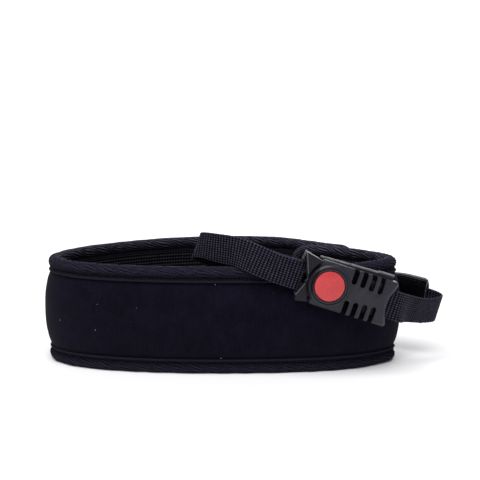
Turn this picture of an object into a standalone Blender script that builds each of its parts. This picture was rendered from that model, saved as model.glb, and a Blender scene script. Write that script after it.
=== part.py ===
# A camera neck strap. Its neoprene pad stands on a long edge, rolled into a loop, and the two
# short webbing straps from the pad's ends meet in a side release buckle in front of it.
# Metres and degrees. +Z is up and the front of the loop faces -Y.

import math
from collections import namedtuple

import bmesh
import bpy
import numpy as np
from mathutils import Matrix, Vector

# Clearance between pieces that touch
GAP = 0.0003

# Pad, rolled up. The loop is measured at the middle of the pad's wall.
LOOP_WIDTH = 0.2232
LOOP_DEPTH = 0.1104
PAD_HEIGHT = 0.070
PAD_CORNER = 0.012
PAD_BOW = 0.0030
BOW_SHAPE = 2.4
BOW_FADE = 0.065
RIM_CORE = 0.0034
CORE_SWELL = 0.0016
LINING_THICKNESS = 0.0009

# Tape sewn round the pad's edge
TAPE_THICKNESS = 0.0010
TAPE_REACH = 0.0098
TAPE_ROUND = 0.0018

# Webbing
WEBBING_WIDTH = 0.0190
WEBBING_THICKNESS = 0.0016
STITCHED_LENGTH = 0.022
STRAIGHT_LEAD = 0.007

# Sewn end tabs
TAB_ROOT_WIDTH = 0.0355
TAB_TIP_WIDTH = 0.0310
TAB_LEAF = 0.0015
TAB_ON_PAD = 0.012
TAB_A_LENGTH = 0.050
TAB_B_LENGTH = 0.053
TAB_TAPER = 0.012
POCKET_START = 0.004

# Buckle, female half. Lengths run from the middle of the round boss.
SHELL_WIDTH = 0.0300
SHELL_THICKNESS = 0.0095
SHELL_LEFT = 0.0094
SHELL_RIGHT = 0.0439
SHELL_EDGE = 0.0015
SHELL_WALL = 0.0020
SHELL_SIDE_WALL = 0.0035
END_HOLLOW = 0.0037
HOLLOW_SHAPE = 1.4
BOSS_RADIUS = 0.0137
BOSS_TOP_RADIUS = 0.0125
BOSS_RISE = 0.0023
BOSS_SKIRT = 0.0030
DISC_RADIUS = 0.0099
DISC_THICKNESS = 0.0009
SLOT_COUNT = 4
SLOT_PITCH = 0.0061
SLOT_FIRST = 0.0146
SLOT_WIDTH = 0.0029
SLOT_INNER_FIRST = 0.0056
SLOT_INNER_LAST = 0.0044
SLOT_DEPTH = 0.0034
BAR_RADIUS = 0.0012
FAR_BAR = 0.0397
BAR_DROP = 0.0063

# Buckle, male half
EAR_LEFT = 0.0204
EAR_RIGHT = 0.0101
EAR_TIP = 0.0156
EAR_WAIST = 0.0034
EAR_WAIST_LEFT = 0.0184
EAR_WAIST_RIGHT = 0.0148
NEAR_BAR = 0.0193
PLUG_REACH = 0.0251
PRONG_WIDTH = 0.0036
PRONG_GAP = 0.0034

# Where the buckle hangs
BUCKLE_ACROSS = 0.614
BUCKLE_HIGH = 0.856
BUCKLE_STANDOFF = 0.0137
BUCKLE_TILT = 19.0
BUCKLE_YAW = 7.0

# Spacing of the sections of everything that bends, and the sides of everything round
TURN_PER_SECTION = 13.0
SECTION_STEP = 0.013
RIBBON_STEP = 0.005
PROBES = 12
CORNER_STEPS = 4
CORNER_SHARES = (0.0, 0.12, 0.42)
HALF_TURN_STEPS = 6
BOSS_SIDES = 48
BAR_SIDES = 12
HOLLOW_STEPS = 8
WELD = 0.00002

PAD_THICKNESS = RIM_CORE + 2 * (GAP + TAPE_THICKNESS)
WRAP_RADIUS = BAR_RADIUS + GAP + WEBBING_THICKNESS / 2

# The way the pad's wall runs, seen from above, from its inner end round to its outer end.
# Shares of half the loop's width and half its depth, from the loop's middle.
Bend = namedtuple("Bend", "name across back")
PAD_BENDS = (
    Bend("inner end", 0.427, 0.470),
    Bend("inner end, right", 0.610, 0.370),
    Bend("right, back", 0.808, 0.118),
    Bend("right, rear of the bend", 0.952, -0.140),
    Bend("right bend", 0.997, -0.340),
    Bend("right, front of the bend", 0.932, -0.556),
    Bend("front right", 0.731, -0.810),
    Bend("front, right of middle", 0.418, -0.950),
    Bend("front", 0.033, -0.998),
    Bend("front, left of middle", -0.343, -0.966),
    Bend("front left", -0.684, -0.835),
    Bend("left, front of the bend", -0.908, -0.602),
    Bend("left bend", -1.000, -0.285),
    Bend("left, rear of the bend", -0.926, 0.112),
    Bend("back left", -0.684, 0.530),
    Bend("back, left of middle", -0.343, 0.873),
    Bend("back", 0.033, 0.998),
    Bend("back right", 0.373, 0.905),
    Bend("outer end, left", 0.606, 0.569),
    Bend("outer end", 0.821, 0.333),
)

# The way each strap runs from its end of the pad to the buckle. Across and back are shares
# as above. High is a share of the pad's height and lift a share of the webbing's width, which
# are added, and lean is how far the upper edge tips to the left of the way the strap runs.
Station = namedtuple("Station", "name across back high lift lean")
STRAP_A_STATIONS = (
    Station("off the pad", 0.302, 0.430, 0.550, 0.0, 4.0),
    Station("inside, rising", 0.186, 0.275, 0.657, 0.0, 8.0),
    Station("middle of the loop", 0.078, 0.040, 0.814, 0.0, 12.0),
    Station("below the fold", -0.021, -0.232, 0.836, 0.5, 18.0),
    Station("fold, back", -0.106, -0.440, 0.957, 0.5, 20.0),
    Station("fold", -0.148, -0.585, 1.007, 0.5, 22.0),
    Station("fold, front", -0.115, -0.690, 1.018, 0.5, 16.0),
    Station("over the loop", -0.039, -0.815, 1.024, 0.5, 8.0),
    Station("over the front rim", 0.060, -0.966, 1.024, 0.5, 6.0),
    Station("off the rim", 0.141, -1.084, 0.988, 0.5, 10.0),
    Station("down the front", 0.293, -1.170, 0.893, 0.5, 0.0),
)
STRAP_B_STATIONS = (
    Station("off the pad", 0.895, 0.275, 0.505, 0.0, 0.0),
    Station("beside the right bend", 1.000, 0.225, 0.515, 0.0, 0.0),
    Station("along the tab", 1.095, 0.115, 0.530, 0.0, 0.0),
    Station("end of the tab", 1.185, -0.045, 0.528, 0.0, 0.0),
    Station("fold, back", 1.262, -0.190, 0.505, 0.0, 6.0),
    Station("fold", 1.283, -0.315, 0.490, 0.0, 18.0),
    Station("fold, front", 1.225, -0.430, 0.492, 0.0, 24.0),
    Station("in front of the fold", 1.110, -0.560, 0.522, 0.0, 20.0),
)

# Base colour and roughness of each material
COLOURS = {
    "pad": ((0.0080, 0.0072, 0.0140), 0.82),
    "lining": ((0.0035, 0.0030, 0.0050), 0.78),
    "tape": ((0.0095, 0.0088, 0.0150), 0.85),
    "webbing": ((0.0125, 0.0120, 0.0180), 0.70),
    "tab": ((0.0050, 0.0045, 0.0065), 0.50),
    "plastic": ((0.0330, 0.0320, 0.0400), 0.42),
    "red": ((0.6700, 0.0450, 0.0500), 0.30),
}


def clear_scene():
    for thing in list(bpy.data.objects):
        bpy.data.objects.remove(thing, do_unlink=True)


def make_collection(name):
    group = bpy.data.collections.new(name)
    bpy.context.scene.collection.children.link(group)
    return group


def make_material(name):
    colour, roughness = COLOURS[name]
    material = bpy.data.materials.new(name)
    material.use_nodes = True
    shader = material.node_tree.nodes["Principled BSDF"]
    shader.inputs["Base Color"].default_value = (*colour, 1.0)
    shader.inputs["Roughness"].default_value = roughness
    shader.inputs["Metallic"].default_value = 0.0
    return material


def add_object(name, mesh, group, material=None, parent=None):
    thing = bpy.data.objects.new(name, mesh)
    group.objects.link(thing)
    if material is not None:
        mesh.materials.clear()
        mesh.materials.append(material)
    thing.parent = parent
    return thing


def mesh_from(name, builder):
    """A mesh made by a function that fills a bmesh."""
    mesh = bpy.data.meshes.new(name)
    work = bmesh.new()
    builder(work)
    bmesh.ops.recalc_face_normals(work, faces=work.faces)
    work.to_mesh(mesh)
    work.free()
    return mesh


def smooth_edges(thing, angle):
    thing.data.shade_smooth()
    thing.data.set_sharp_from_angle(angle=math.radians(angle))


def ease(share):
    share = min(max(share, 0.0), 1.0)
    return share * share * (3 - 2 * share)


class Path:
    """A smooth curve through points, read by the distance along it. Extra columns follow too."""

    def __init__(self, points, start=None, end=None, samples=60):
        points = np.array(points, float)
        steps = np.linalg.norm(np.diff(points[:, :3], axis=0), axis=1)
        slopes = self.slopes(points, steps, start, end)
        rows = []
        for i, step in enumerate(steps):
            for share in np.linspace(0, 1, samples, endpoint=False):
                rows.append(self.between(points, slopes, step, i, share))
        rows.append(points[-1])
        self.rows = np.array(rows)
        self.measure()

    @staticmethod
    def slopes(points, steps, start, end):
        count = len(points)
        system = np.zeros((count, count))
        right = np.zeros(points.shape)
        for i in range(1, count - 1):
            before = steps[i - 1]
            after = steps[i]
            system[i, i - 1:i + 2] = (after, 2 * (before + after), before)
            rise_before = (points[i] - points[i - 1]) / before
            rise_after = (points[i + 1] - points[i]) / after
            right[i] = 3 * (after * rise_before + before * rise_after)
        for row, near, step, held in ((0, 1, steps[0], start), (-1, -2, steps[-1], end)):
            if held is None:
                system[row, row] = 2
                system[row, near] = 1
                right[row] = 3 * (points[near] - points[row]) / step
                if row == -1:
                    right[row] = -right[row]
            else:
                system[row, row] = 1
                right[row, :3] = np.array(held)[:3]
        return np.linalg.solve(system, right)

    @staticmethod
    def between(points, slopes, step, i, share):
        a = 2 * share ** 3 - 3 * share ** 2 + 1
        b = share ** 3 - 2 * share ** 2 + share
        c = 3 * share ** 2 - 2 * share ** 3
        d = share ** 3 - share ** 2
        return (a * points[i] + b * step * slopes[i]
                + c * points[i + 1] + d * step * slopes[i + 1])

    def measure(self):
        steps = np.linalg.norm(np.diff(self.rows[:, :3], axis=0), axis=1)
        self.distance = np.concatenate(([0.0], np.cumsum(steps)))
        self.length = self.distance[-1]

    def row(self, distance):
        return np.array([np.interp(distance, self.distance, column) for column in self.rows.T])

    def point(self, distance):
        return Vector(self.row(distance)[:3])

    def heading(self, distance, reach=0.0004):
        before = self.point(max(distance - reach, 0.0))
        after = self.point(min(distance + reach, self.length))
        return (after - before).normalized()

    def sections(self, first, last, step):
        """Distances for sections: close together where the path turns, further apart elsewhere."""
        places = [first]
        held = self.heading(first)
        probe = first
        while probe < last:
            probe += step / PROBES
            turned = math.degrees(held.angle(self.heading(min(probe, self.length))))
            if turned > TURN_PER_SECTION or probe - places[-1] > step:
                places.append(probe)
                held = self.heading(probe)
        if last - places[-1] < 2 * step / PROBES and len(places) > 1:
            places.pop()
        if places[-1] < last:
            places.append(last)
        return places


def extended(path, rows):
    """The path with other rows put before its own."""
    path.rows = np.vstack((rows[:-1], path.rows))
    path.measure()
    return path


def loop_point(across, back, high=0.0):
    return Vector((across * LOOP_WIDTH / 2, back * LOOP_DEPTH / 2, high))


def pad_path():
    return Path([loop_point(bend.across, bend.back) for bend in PAD_BENDS])


def outward(heading):
    """Level direction to the left of the heading, which is the outside of the rolled pad."""
    return Vector((-heading.y, heading.x, 0.0)).normalized()


def bow(path, along, high):
    """How far the wall stands out at this place, as the tape gathers both long edges."""
    rise = 1 - abs(2 * high / PAD_HEIGHT - 1) ** BOW_SHAPE
    past_tab = min(along, path.length - along) - TAB_ON_PAD
    return PAD_BOW * max(rise, 0.0) * ease(past_tab / BOW_FADE)


def roll_up(mesh, path):
    """Turn a flat piece, with x along the pad, y up it and z through it, into the rolled pad."""
    for vertex in mesh.vertices:
        along = min(max(vertex.co.x, 0.0), path.length)
        high = vertex.co.y
        side = outward(path.heading(along))
        place = path.point(along) + side * (vertex.co.z + bow(path, along, high))
        vertex.co = Vector((place.x, place.y, high))
    mesh.flip_normals()


def edge_distance(path, along, high):
    return min(along, path.length - along, high, PAD_HEIGHT - high)


def core_face(path, along, high):
    """Half thickness of the core: thin under the tape and swollen past it."""
    past_tape = edge_distance(path, along, high) - TAPE_REACH
    return RIM_CORE / 2 + CORE_SWELL * ease(past_tape / (2 * CORE_SWELL))


def corner_inset(from_end, radius):
    """How much lower the outline is at this distance from the pad's end."""
    if from_end >= radius:
        return 0.0
    return radius - math.sqrt(max(radius ** 2 - (radius - from_end) ** 2, 0.0))


def swell_end():
    """Distance in from the pad's edge at which its core has swollen to full thickness."""
    return TAPE_REACH + GAP + 2 * CORE_SWELL


def inside_corners(path, along, high, inset):
    """The height of a place on a layer that much inside the outline, kept in its round corners."""
    full = PAD_HEIGHT / 2 - inset
    from_end = min(along, path.length - along) - inset
    squeeze = (full - corner_inset(from_end, PAD_CORNER - inset)) / full
    return PAD_HEIGHT / 2 + (high - PAD_HEIGHT / 2) * squeeze


def pad_sections(path):
    """Places along the pad that all its layers share, between its round corners."""
    inner = path.sections(swell_end(), path.length - swell_end(), SECTION_STEP)
    return [PAD_CORNER] + inner + [path.length - PAD_CORNER]


def pad_columns(path, own_places):
    """The shared places, with a layer's own ones at both ends of the pad."""
    return own_places + pad_sections(path) + [path.length - place for place in reversed(own_places)]


def flat_grid(columns, rows, name):
    """A flat grid of quads whose columns and rows are at the given places."""
    def build(work):
        bmesh.ops.create_grid(work, x_segments=len(columns) - 1, y_segments=len(rows) - 1, size=1.0)
        for vertex in work.verts:
            column = round((vertex.co.x + 1) / 2 * (len(columns) - 1))
            row = round((vertex.co.y + 1) / 2 * (len(rows) - 1))
            vertex.co = Vector((columns[column], rows[row], 0.0))
    return mesh_from(name, build)


def solid_sheet(name, mesh, group):
    """The sheet made two units thick, one to each side, as a mesh of its own."""
    sheet = add_object(name, mesh, group)
    thicken = sheet.modifiers.new("thickness", "SOLIDIFY")
    thicken.thickness = 2.0
    thicken.offset = 0.0
    graph = bpy.context.evaluated_depsgraph_get()
    solid = bpy.data.meshes.new_from_object(sheet.evaluated_get(graph))
    bpy.data.objects.remove(sheet, do_unlink=True)
    return solid


def pad_core(path, group, material):
    inset = TAPE_THICKNESS + GAP
    radius = PAD_CORNER - inset
    under = TAPE_REACH + GAP
    ends = [inset + radius * share for share in CORNER_SHARES]
    columns = pad_columns(path, ends + [under])
    quarter = (under + PAD_HEIGHT / 2) / 2
    rows = [inset, tape_middle(), under, swell_end(), quarter, PAD_HEIGHT / 2]
    rows += [PAD_HEIGHT - row for row in reversed(rows[:-1])]
    mesh = solid_sheet("core_sheet", flat_grid(columns, rows, "core"), group)
    for vertex in mesh.vertices:
        along = vertex.co.x
        high = inside_corners(path, along, vertex.co.y, inset)
        half = core_face(path, along, high)
        face = half if vertex.co.z > 0 else -min(half, RIM_CORE / 2 + GAP)
        vertex.co = Vector((along, high, face))
    roll_up(mesh, path)
    core = add_object("pad_core", mesh, group, material)
    smooth_edges(core, 50)
    return core


def pad_lining(path, group, material):
    inset = TAPE_REACH + GAP
    columns = pad_columns(path, [inset])
    rows = [inset, (inset + PAD_HEIGHT / 2) / 2, PAD_HEIGHT / 2]
    rows += [PAD_HEIGHT - row for row in reversed(rows[:-1])]
    mesh = solid_sheet("lining_sheet", flat_grid(columns, rows, "lining"), group)
    near = -(RIM_CORE / 2 + 2 * GAP)
    for vertex in mesh.vertices:
        high = inside_corners(path, vertex.co.x, vertex.co.y, inset)
        through = near if vertex.co.z > 0 else near - LINING_THICKNESS
        vertex.co = Vector((vertex.co.x, high, through))
    roll_up(mesh, path)
    lining = add_object("pad_lining", mesh, group, material)
    smooth_edges(lining, 50)
    return lining


def rounded_outline(path, radius):
    """Corner points of the flat pad's outline, with a point at each section of its long edges."""
    long_edge = pad_sections(path)
    lower = [Vector((place, 0.0, 0.0)) for place in long_edge]
    upper = [Vector((place, PAD_HEIGHT, 0.0)) for place in reversed(long_edge)]

    def corner(centre_x, centre_y, first):
        points = []
        for i in range(1, CORNER_STEPS):
            angle = math.radians(first + 90 * i / CORNER_STEPS)
            across = centre_x + radius * math.cos(angle)
            points.append(Vector((across, centre_y + radius * math.sin(angle), 0.0)))
        return points

    right = path.length - radius
    top = PAD_HEIGHT - radius
    end_right = [Vector((path.length, radius, 0.0)), Vector((path.length, PAD_HEIGHT / 2, 0.0)),
                 Vector((path.length, top, 0.0))]
    end_left = [Vector((0.0, top, 0.0)), Vector((0.0, PAD_HEIGHT / 2, 0.0)),
                Vector((0.0, radius, 0.0))]
    return (lower + corner(right, radius, -90) + end_right + corner(right, top, 0)
            + upper + corner(radius, top, 90) + end_left + corner(radius, radius, 180))


def tape_middle():
    """Reach at the middle of the tape's flat leaves."""
    return (TAPE_ROUND + TAPE_REACH) / 2


def tape_profile():
    """Section of the folded tape: reach in from the pad's edge, and place through the pad."""
    outer = PAD_THICKNESS / 2
    inner = outer - TAPE_THICKNESS
    half_round = TAPE_ROUND / 3
    half_way = tape_middle()
    return ((TAPE_REACH, outer), (half_way, outer), (TAPE_ROUND, outer),
            (half_round, outer - half_round), (0.0, outer - TAPE_ROUND),
            (0.0, TAPE_ROUND - outer), (half_round, half_round - outer),
            (TAPE_ROUND, -outer), (half_way, -outer), (TAPE_REACH, -outer),
            (TAPE_REACH, -inner), (half_way, -inner), (TAPE_THICKNESS, -inner),
            (TAPE_THICKNESS, inner), (half_way, inner), (TAPE_REACH, inner))


def edge_binding(path, group, material):
    """Folded tape swept round the flat pad's outline, then rolled up with it."""
    outline = rounded_outline(path, PAD_CORNER)
    profile = tape_profile()

    def build(work):
        rings = []
        count = len(outline)
        for i, place in enumerate(outline):
            before = (place - outline[i - 1]).normalized()
            after = (outline[(i + 1) % count] - place).normalized()
            run = (before + after).normalized()
            inward = Vector((-run.y, run.x, 0.0))
            rings.append([work.verts.new(place + inward * reach + Vector((0.0, 0.0, through)))
                          for reach, through in profile])
        join_rings(work, rings, closed=True)
    mesh = mesh_from("binding", build)
    roll_up(mesh, path)
    binding = add_object("edge_binding", mesh, group, material)
    smooth_edges(binding, 40)
    return binding


def join_rings(work, rings, closed):
    """Quads between neighbouring rings of a loft, with its ends filled when it is open."""
    pairs = list(zip(rings, rings[1:]))
    if closed:
        pairs.append((rings[-1], rings[0]))
    for ring, following in pairs:
        size = len(ring)
        for i in range(size):
            j = (i + 1) % size
            work.faces.new((ring[i], ring[j], following[j], following[i]))
    if not closed:
        work.faces.new(rings[0])
        work.faces.new(reversed(rings[-1]))


Frame = namedtuple("Frame", "place run width side")


def frame_at(path, distance):
    """Place, run, width and side directions of a strap. The width leans by the path's lean."""
    row = path.row(distance)
    run = path.heading(distance)
    upright = (Vector((0.0, 0.0, 1.0)) - run * run.z).normalized()
    side = upright.cross(run).normalized()
    lean = math.radians(row[3])
    width = upright * math.cos(lean) + side * math.sin(lean)
    return Frame(Vector(row[:3]), run, width, width.cross(run).normalized())


def strap_path(pad, at_start, stations, buckle, bar):
    """The middle of a strap, from on the pad's end through its stations to its buckle bar."""
    edge = 0.0 if at_start else pad.length
    sign = -1.0 if at_start else 1.0
    on_pad = []
    for share in np.linspace(0, 1, 13):
        along = edge - sign * TAB_ON_PAD * (1 - share)
        side = outward(pad.heading(along))
        place = pad.point(along) + side * bow(pad, along, PAD_HEIGHT / 2)
        on_pad.append((place.x, place.y, PAD_HEIGHT / 2, 0.0))
    rows = [on_pad[-1]]
    for station in stations:
        high = station.high * PAD_HEIGHT + station.lift * WEBBING_WIDTH
        place = loop_point(station.across, station.back, high)
        rows.append((*place, station.lean))
    start = np.array(on_pad[-1][:3]) - np.array(on_pad[-2][:3])
    end = buckle.to_3x3() @ Vector((-sign, 0.0, 0.0))
    rows.append((*(bar - end * STRAIGHT_LEAD), 0.0))
    rows.append((*bar, 0.0))
    path = Path(rows, start / np.linalg.norm(start), end)
    return extended(path, np.array(on_pad))


def strap_frames(path, toward_back):
    """Frames down the strap, round its bar and back along its stitched end."""
    first = TAB_ON_PAD + POCKET_START
    frames = [frame_at(path, place) for place in path.sections(first, path.length, RIBBON_STEP)]
    last = frames[-1]
    back = last.side * toward_back
    bar = last.place + back * WRAP_RADIUS
    for i in range(1, HALF_TURN_STEPS):
        angle = math.pi * i / HALF_TURN_STEPS
        round_bar = last.run * math.sin(angle) - back * math.cos(angle)
        frames.append(last._replace(place=bar + round_bar * WRAP_RADIUS))
    close = WEBBING_THICKNESS + GAP
    for step in np.linspace(0, STITCHED_LENGTH, HALF_TURN_STEPS):
        along = frame_at(path, path.length - step)
        apart = close + (2 * WRAP_RADIUS - close) * (1 - ease(step / (4 * WRAP_RADIUS)))
        frames.append(along._replace(place=along.place + along.side * toward_back * apart))
    return frames


def webbing(name, path, toward_back, group, material):
    frames = strap_frames(path, toward_back)

    def build(work):
        bmesh.ops.create_grid(work, x_segments=len(frames) - 1, y_segments=1, size=1.0)
        for vertex in work.verts:
            frame = frames[round((vertex.co.x + 1) / 2 * (len(frames) - 1))]
            vertex.co = frame.place + frame.width * (vertex.co.y * WEBBING_WIDTH / 2)
    strap = add_object(name, mesh_from(name, build), group, material)
    thicken = strap.modifiers.new("thickness", "SOLIDIFY")
    thicken.thickness = WEBBING_THICKNESS
    thicken.offset = 0.0
    thicken.use_even_offset = True
    smooth_edges(strap, 50)
    return strap


def swept_block(name, path, places, half_width, half_thickness, group, material=None):
    """A block swept along a strap's path. Its half sizes are functions of the distance."""
    def build(work):
        rings = []
        for distance in places:
            frame = frame_at(path, distance)
            if distance < 0:
                frame = frame._replace(place=frame.place + frame.run * distance)
            if distance > path.length:
                frame = frame._replace(place=frame.place + frame.run * (distance - path.length))
            across = frame.width * half_width(distance)
            through = frame.side * half_thickness(distance)
            rings.append([work.verts.new(frame.place + across * a + through * b)
                          for a, b in ((-1, -1), (1, -1), (1, 1), (-1, 1))])
        join_rings(work, rings, closed=False)
    return add_object(name, mesh_from(name, build), group, material)


def end_tab(name, path, length, group, cutters, material):
    """Two leaves that hold the pad's end between them, then the webbing in a sewn pocket."""
    on_pad = PAD_THICKNESS / 2 + GAP
    on_strap = WEBBING_THICKNESS / 2 + GAP
    total = TAB_ON_PAD + length

    def outside(distance):
        past = ease((distance - TAB_ON_PAD - GAP) / TAB_TAPER)
        return on_pad + (on_strap - on_pad) * past + TAB_LEAF

    def wide(distance):
        return (TAB_ROOT_WIDTH + (TAB_TIP_WIDTH - TAB_ROOT_WIDTH) * distance / total) / 2

    places = [0.0, TAB_ON_PAD / 2, TAB_ON_PAD + GAP]
    places += path.sections(TAB_ON_PAD + GAP + TAB_TAPER / 4, total, RIBBON_STEP)
    tab = swept_block(name, path, places, wide, outside, group, material)
    pad_room = swept_block(name + "_pad_room", path, [-GAP, TAB_ON_PAD / 2, TAB_ON_PAD + GAP],
                           lambda distance: TAB_ROOT_WIDTH, lambda distance: on_pad, cutters)
    places = path.sections(TAB_ON_PAD, total, RIBBON_STEP) + [total + RIBBON_STEP / 2]
    pocket = swept_block(name + "_pocket", path, places, lambda distance: WEBBING_WIDTH / 2 + GAP,
                         lambda distance: on_strap, cutters)
    # Without this option the solver leaves nothing of tab A in a loop about 8% narrower. The
    # cause isn't known, and at some widths narrower than 0.9 a tab still doesn't close.
    cut(tab, pad_room, "DIFFERENCE").use_self = True
    cut(tab, pocket, "DIFFERENCE")
    smooth_edges(tab, 40)
    return tab


def cut(thing, tool, operation):
    step = thing.modifiers.new(tool.name, "BOOLEAN")
    step.operation = operation
    step.solver = "EXACT"
    step.object = tool
    tool.hide_render = True
    tool.display_type = "WIRE"
    return step


def plate(name, outline, low, high, group, material=None, parent=None):
    """A flat outline filled and given its thickness, from low to high through the buckle."""
    curve = bpy.data.curves.new(name, "CURVE")
    curve.dimensions = "2D"
    curve.fill_mode = "BOTH"
    curve.extrude = (high - low) / 2
    spline = curve.splines.new("POLY")
    spline.points.add(len(outline) - 1)
    for point, (x, y) in zip(spline.points, outline):
        point.co = (x, y, 0.0, 1.0)
    spline.use_cyclic_u = True
    drawn = bpy.data.objects.new(name + "_outline", curve)
    group.objects.link(drawn)
    graph = bpy.context.evaluated_depsgraph_get()
    mesh = bpy.data.meshes.new_from_object(drawn.evaluated_get(graph))
    bpy.data.objects.remove(drawn, do_unlink=True)
    work = bmesh.new()
    work.from_mesh(mesh)
    bmesh.ops.remove_doubles(work, verts=work.verts, dist=WELD)
    bmesh.ops.translate(work, verts=work.verts, vec=(0.0, 0.0, (low + high) / 2))
    bmesh.ops.recalc_face_normals(work, faces=work.faces)
    work.to_mesh(mesh)
    work.free()
    return add_object(name, mesh, group, material, parent)


def block(name, low, high, group, parent):
    """A box between two corners."""
    def build(work):
        bmesh.ops.create_cube(work, size=1.0)
        size = Vector(high) - Vector(low)
        middle = (Vector(high) + Vector(low)) / 2
        for vertex in work.verts:
            vertex.co = middle + Vector(a * b for a, b in zip(vertex.co, size))
    return add_object(name, mesh_from(name, build), group, None, parent)


def drum(name, radius, top_radius, low, high, group, parent, material=None):
    """A round piece round the boss's middle, between two heights."""
    def build(work):
        bmesh.ops.create_cone(work, cap_ends=True, segments=BOSS_SIDES, radius1=radius,
                              radius2=top_radius, depth=high - low,
                              matrix=Matrix.Translation((0, 0, (low + high) / 2)))
    return add_object(name, mesh_from(name, build), group, material, parent)


def bar_rod(name, across, half_length, group, parent):
    """The rod that webbing wraps, from side to side of the buckle."""
    turn = Matrix.Rotation(math.radians(90), 4, "X")

    def build(work):
        place = Matrix.Translation((across, 0, -BAR_DROP)) @ turn
        bmesh.ops.create_cone(work, cap_ends=True, segments=BAR_SIDES, radius1=BAR_RADIUS,
                              radius2=BAR_RADIUS, depth=2 * half_length, matrix=place)
    return add_object(name, mesh_from(name, build), group, None, parent)


def bevel(thing, width, segments=1, angle=50):
    step = thing.modifiers.new("rounded edges", "BEVEL")
    step.width = width
    step.segments = segments
    step.limit_method = "ANGLE"
    step.angle_limit = math.radians(angle)
    return step


def shell_outline():
    """Front outline of the female half. Its far end is hollowed between two flared corners."""
    half = SHELL_WIDTH / 2
    points = [(-SHELL_LEFT, -half), (SHELL_RIGHT, -half)]
    for i in range(1, HOLLOW_STEPS):
        share = i / HOLLOW_STEPS
        hollow = END_HOLLOW * math.sin(math.pi * share) ** HOLLOW_SHAPE
        points.append((SHELL_RIGHT - hollow, half * (2 * share - 1)))
    return points + [(SHELL_RIGHT, half), (-SHELL_LEFT, half)]


def slot_cutters(cutters, parent):
    """The two rows of slots. Each is open through the long edge and round at its inner end."""
    tools = []
    for i in range(SLOT_COUNT):
        x = SLOT_FIRST + i * SLOT_PITCH
        share = i / (SLOT_COUNT - 1)
        inner = SLOT_INNER_FIRST + (SLOT_INNER_LAST - SLOT_INNER_FIRST) * share
        radius = SLOT_WIDTH / 2
        for side in (-1, 1):
            outline = [(x - side * radius, side * SHELL_WIDTH),
                       (x + side * radius, side * SHELL_WIDTH)]
            for k in range(HALF_TURN_STEPS + 1):
                angle = math.pi * k / HALF_TURN_STEPS
                outline.append((x + side * radius * math.cos(angle),
                                side * (inner + radius - radius * math.sin(angle))))
            name = "slot_%d_%s" % (i + 1, "upper" if side > 0 else "lower")
            tools.append(plate(name, outline, -SLOT_DEPTH, SLOT_DEPTH, cutters, None, parent))
    return tools


def buckle_female(group, cutters, parent, material):
    half = SHELL_WIDTH / 2
    room = WEBBING_WIDTH / 2 + 2 * GAP
    window_left = FAR_BAR - WRAP_RADIUS - WEBBING_THICKNESS / 2 - 2 * GAP
    window_front = -(BAR_DROP - WRAP_RADIUS - WEBBING_THICKNESS / 2 - GAP)
    shell = plate("buckle_female", shell_outline(), -SHELL_THICKNESS, 0.0, group, material, parent)
    bevel(shell, SHELL_EDGE, 1)
    side = half - SHELL_SIDE_WALL
    middle = BOSS_RISE / 2
    boss = drum("boss", BOSS_RADIUS, BOSS_RADIUS, -BOSS_SKIRT, middle, cutters, parent)
    crown = drum("boss_crown", BOSS_RADIUS, BOSS_TOP_RADIUS, middle, BOSS_RISE, cutters, parent)
    recess = drum("disc_recess", DISC_RADIUS + GAP, DISC_RADIUS + GAP,
                  BOSS_RISE - DISC_THICKNESS - GAP, BOSS_RISE * 2, cutters, parent)
    socket = block("socket", (-SHELL_LEFT - BOSS_RADIUS, -side, SHELL_WALL - SHELL_THICKNESS),
                   (window_left - SHELL_WALL / 2, side, -SHELL_WALL), cutters, parent)
    window = block("strap_window", (window_left, -room, -2 * SHELL_THICKNESS),
                   (SHELL_RIGHT + half, room, window_front), cutters, parent)
    bar = bar_rod("far_bar", FAR_BAR, room + SHELL_WALL / 2, cutters, parent)
    cut(shell, boss, "UNION")
    cut(shell, crown, "UNION")
    cut(shell, recess, "DIFFERENCE")
    cut(shell, socket, "DIFFERENCE")
    cut(shell, window, "DIFFERENCE")
    for slot in slot_cutters(cutters, parent):
        cut(shell, slot, "DIFFERENCE")
    cut(shell, bar, "UNION")
    smooth_edges(shell, 35)
    return shell


def mirrored(points):
    return points + [(x, -y) for x, y in reversed(points)]


def plug_outline():
    """The plug inside the shell: a root and three prongs."""
    half = SHELL_WIDTH / 2 - SHELL_SIDE_WALL - GAP
    root = -SHELL_LEFT + BOSS_RADIUS / 2
    outer = [(-EAR_WAIST_RIGHT, half), (PLUG_REACH - PRONG_WIDTH, half),
             (PLUG_REACH, half - PRONG_WIDTH / 2), (PLUG_REACH, half - PRONG_WIDTH),
             (root, half - PRONG_WIDTH), (root, half - PRONG_WIDTH - PRONG_GAP),
             (PLUG_REACH, half - PRONG_WIDTH - PRONG_GAP)]
    return mirrored(outer)


def ear_outline(side, waist):
    """One ear, wide at the buckle's edge. With a waist it runs in toward the middle."""
    room = WEBBING_WIDTH / 2 + 2 * GAP
    points = [(-EAR_LEFT, EAR_TIP), (-EAR_RIGHT, EAR_TIP - SHELL_EDGE)]
    if waist:
        points += [(-EAR_WAIST_RIGHT, EAR_WAIST), (-EAR_WAIST_LEFT, EAR_WAIST),
                   (-EAR_WAIST_LEFT, room)]
    else:
        share = (room - EAR_WAIST) / (EAR_TIP - EAR_WAIST)
        right = EAR_WAIST_RIGHT + (EAR_RIGHT - EAR_WAIST_RIGHT) * share
        points += [(-right, room)]
    points += [(-EAR_LEFT - SHELL_EDGE / 2, room)]
    return [(x, side * y) for x, y in points]


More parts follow.
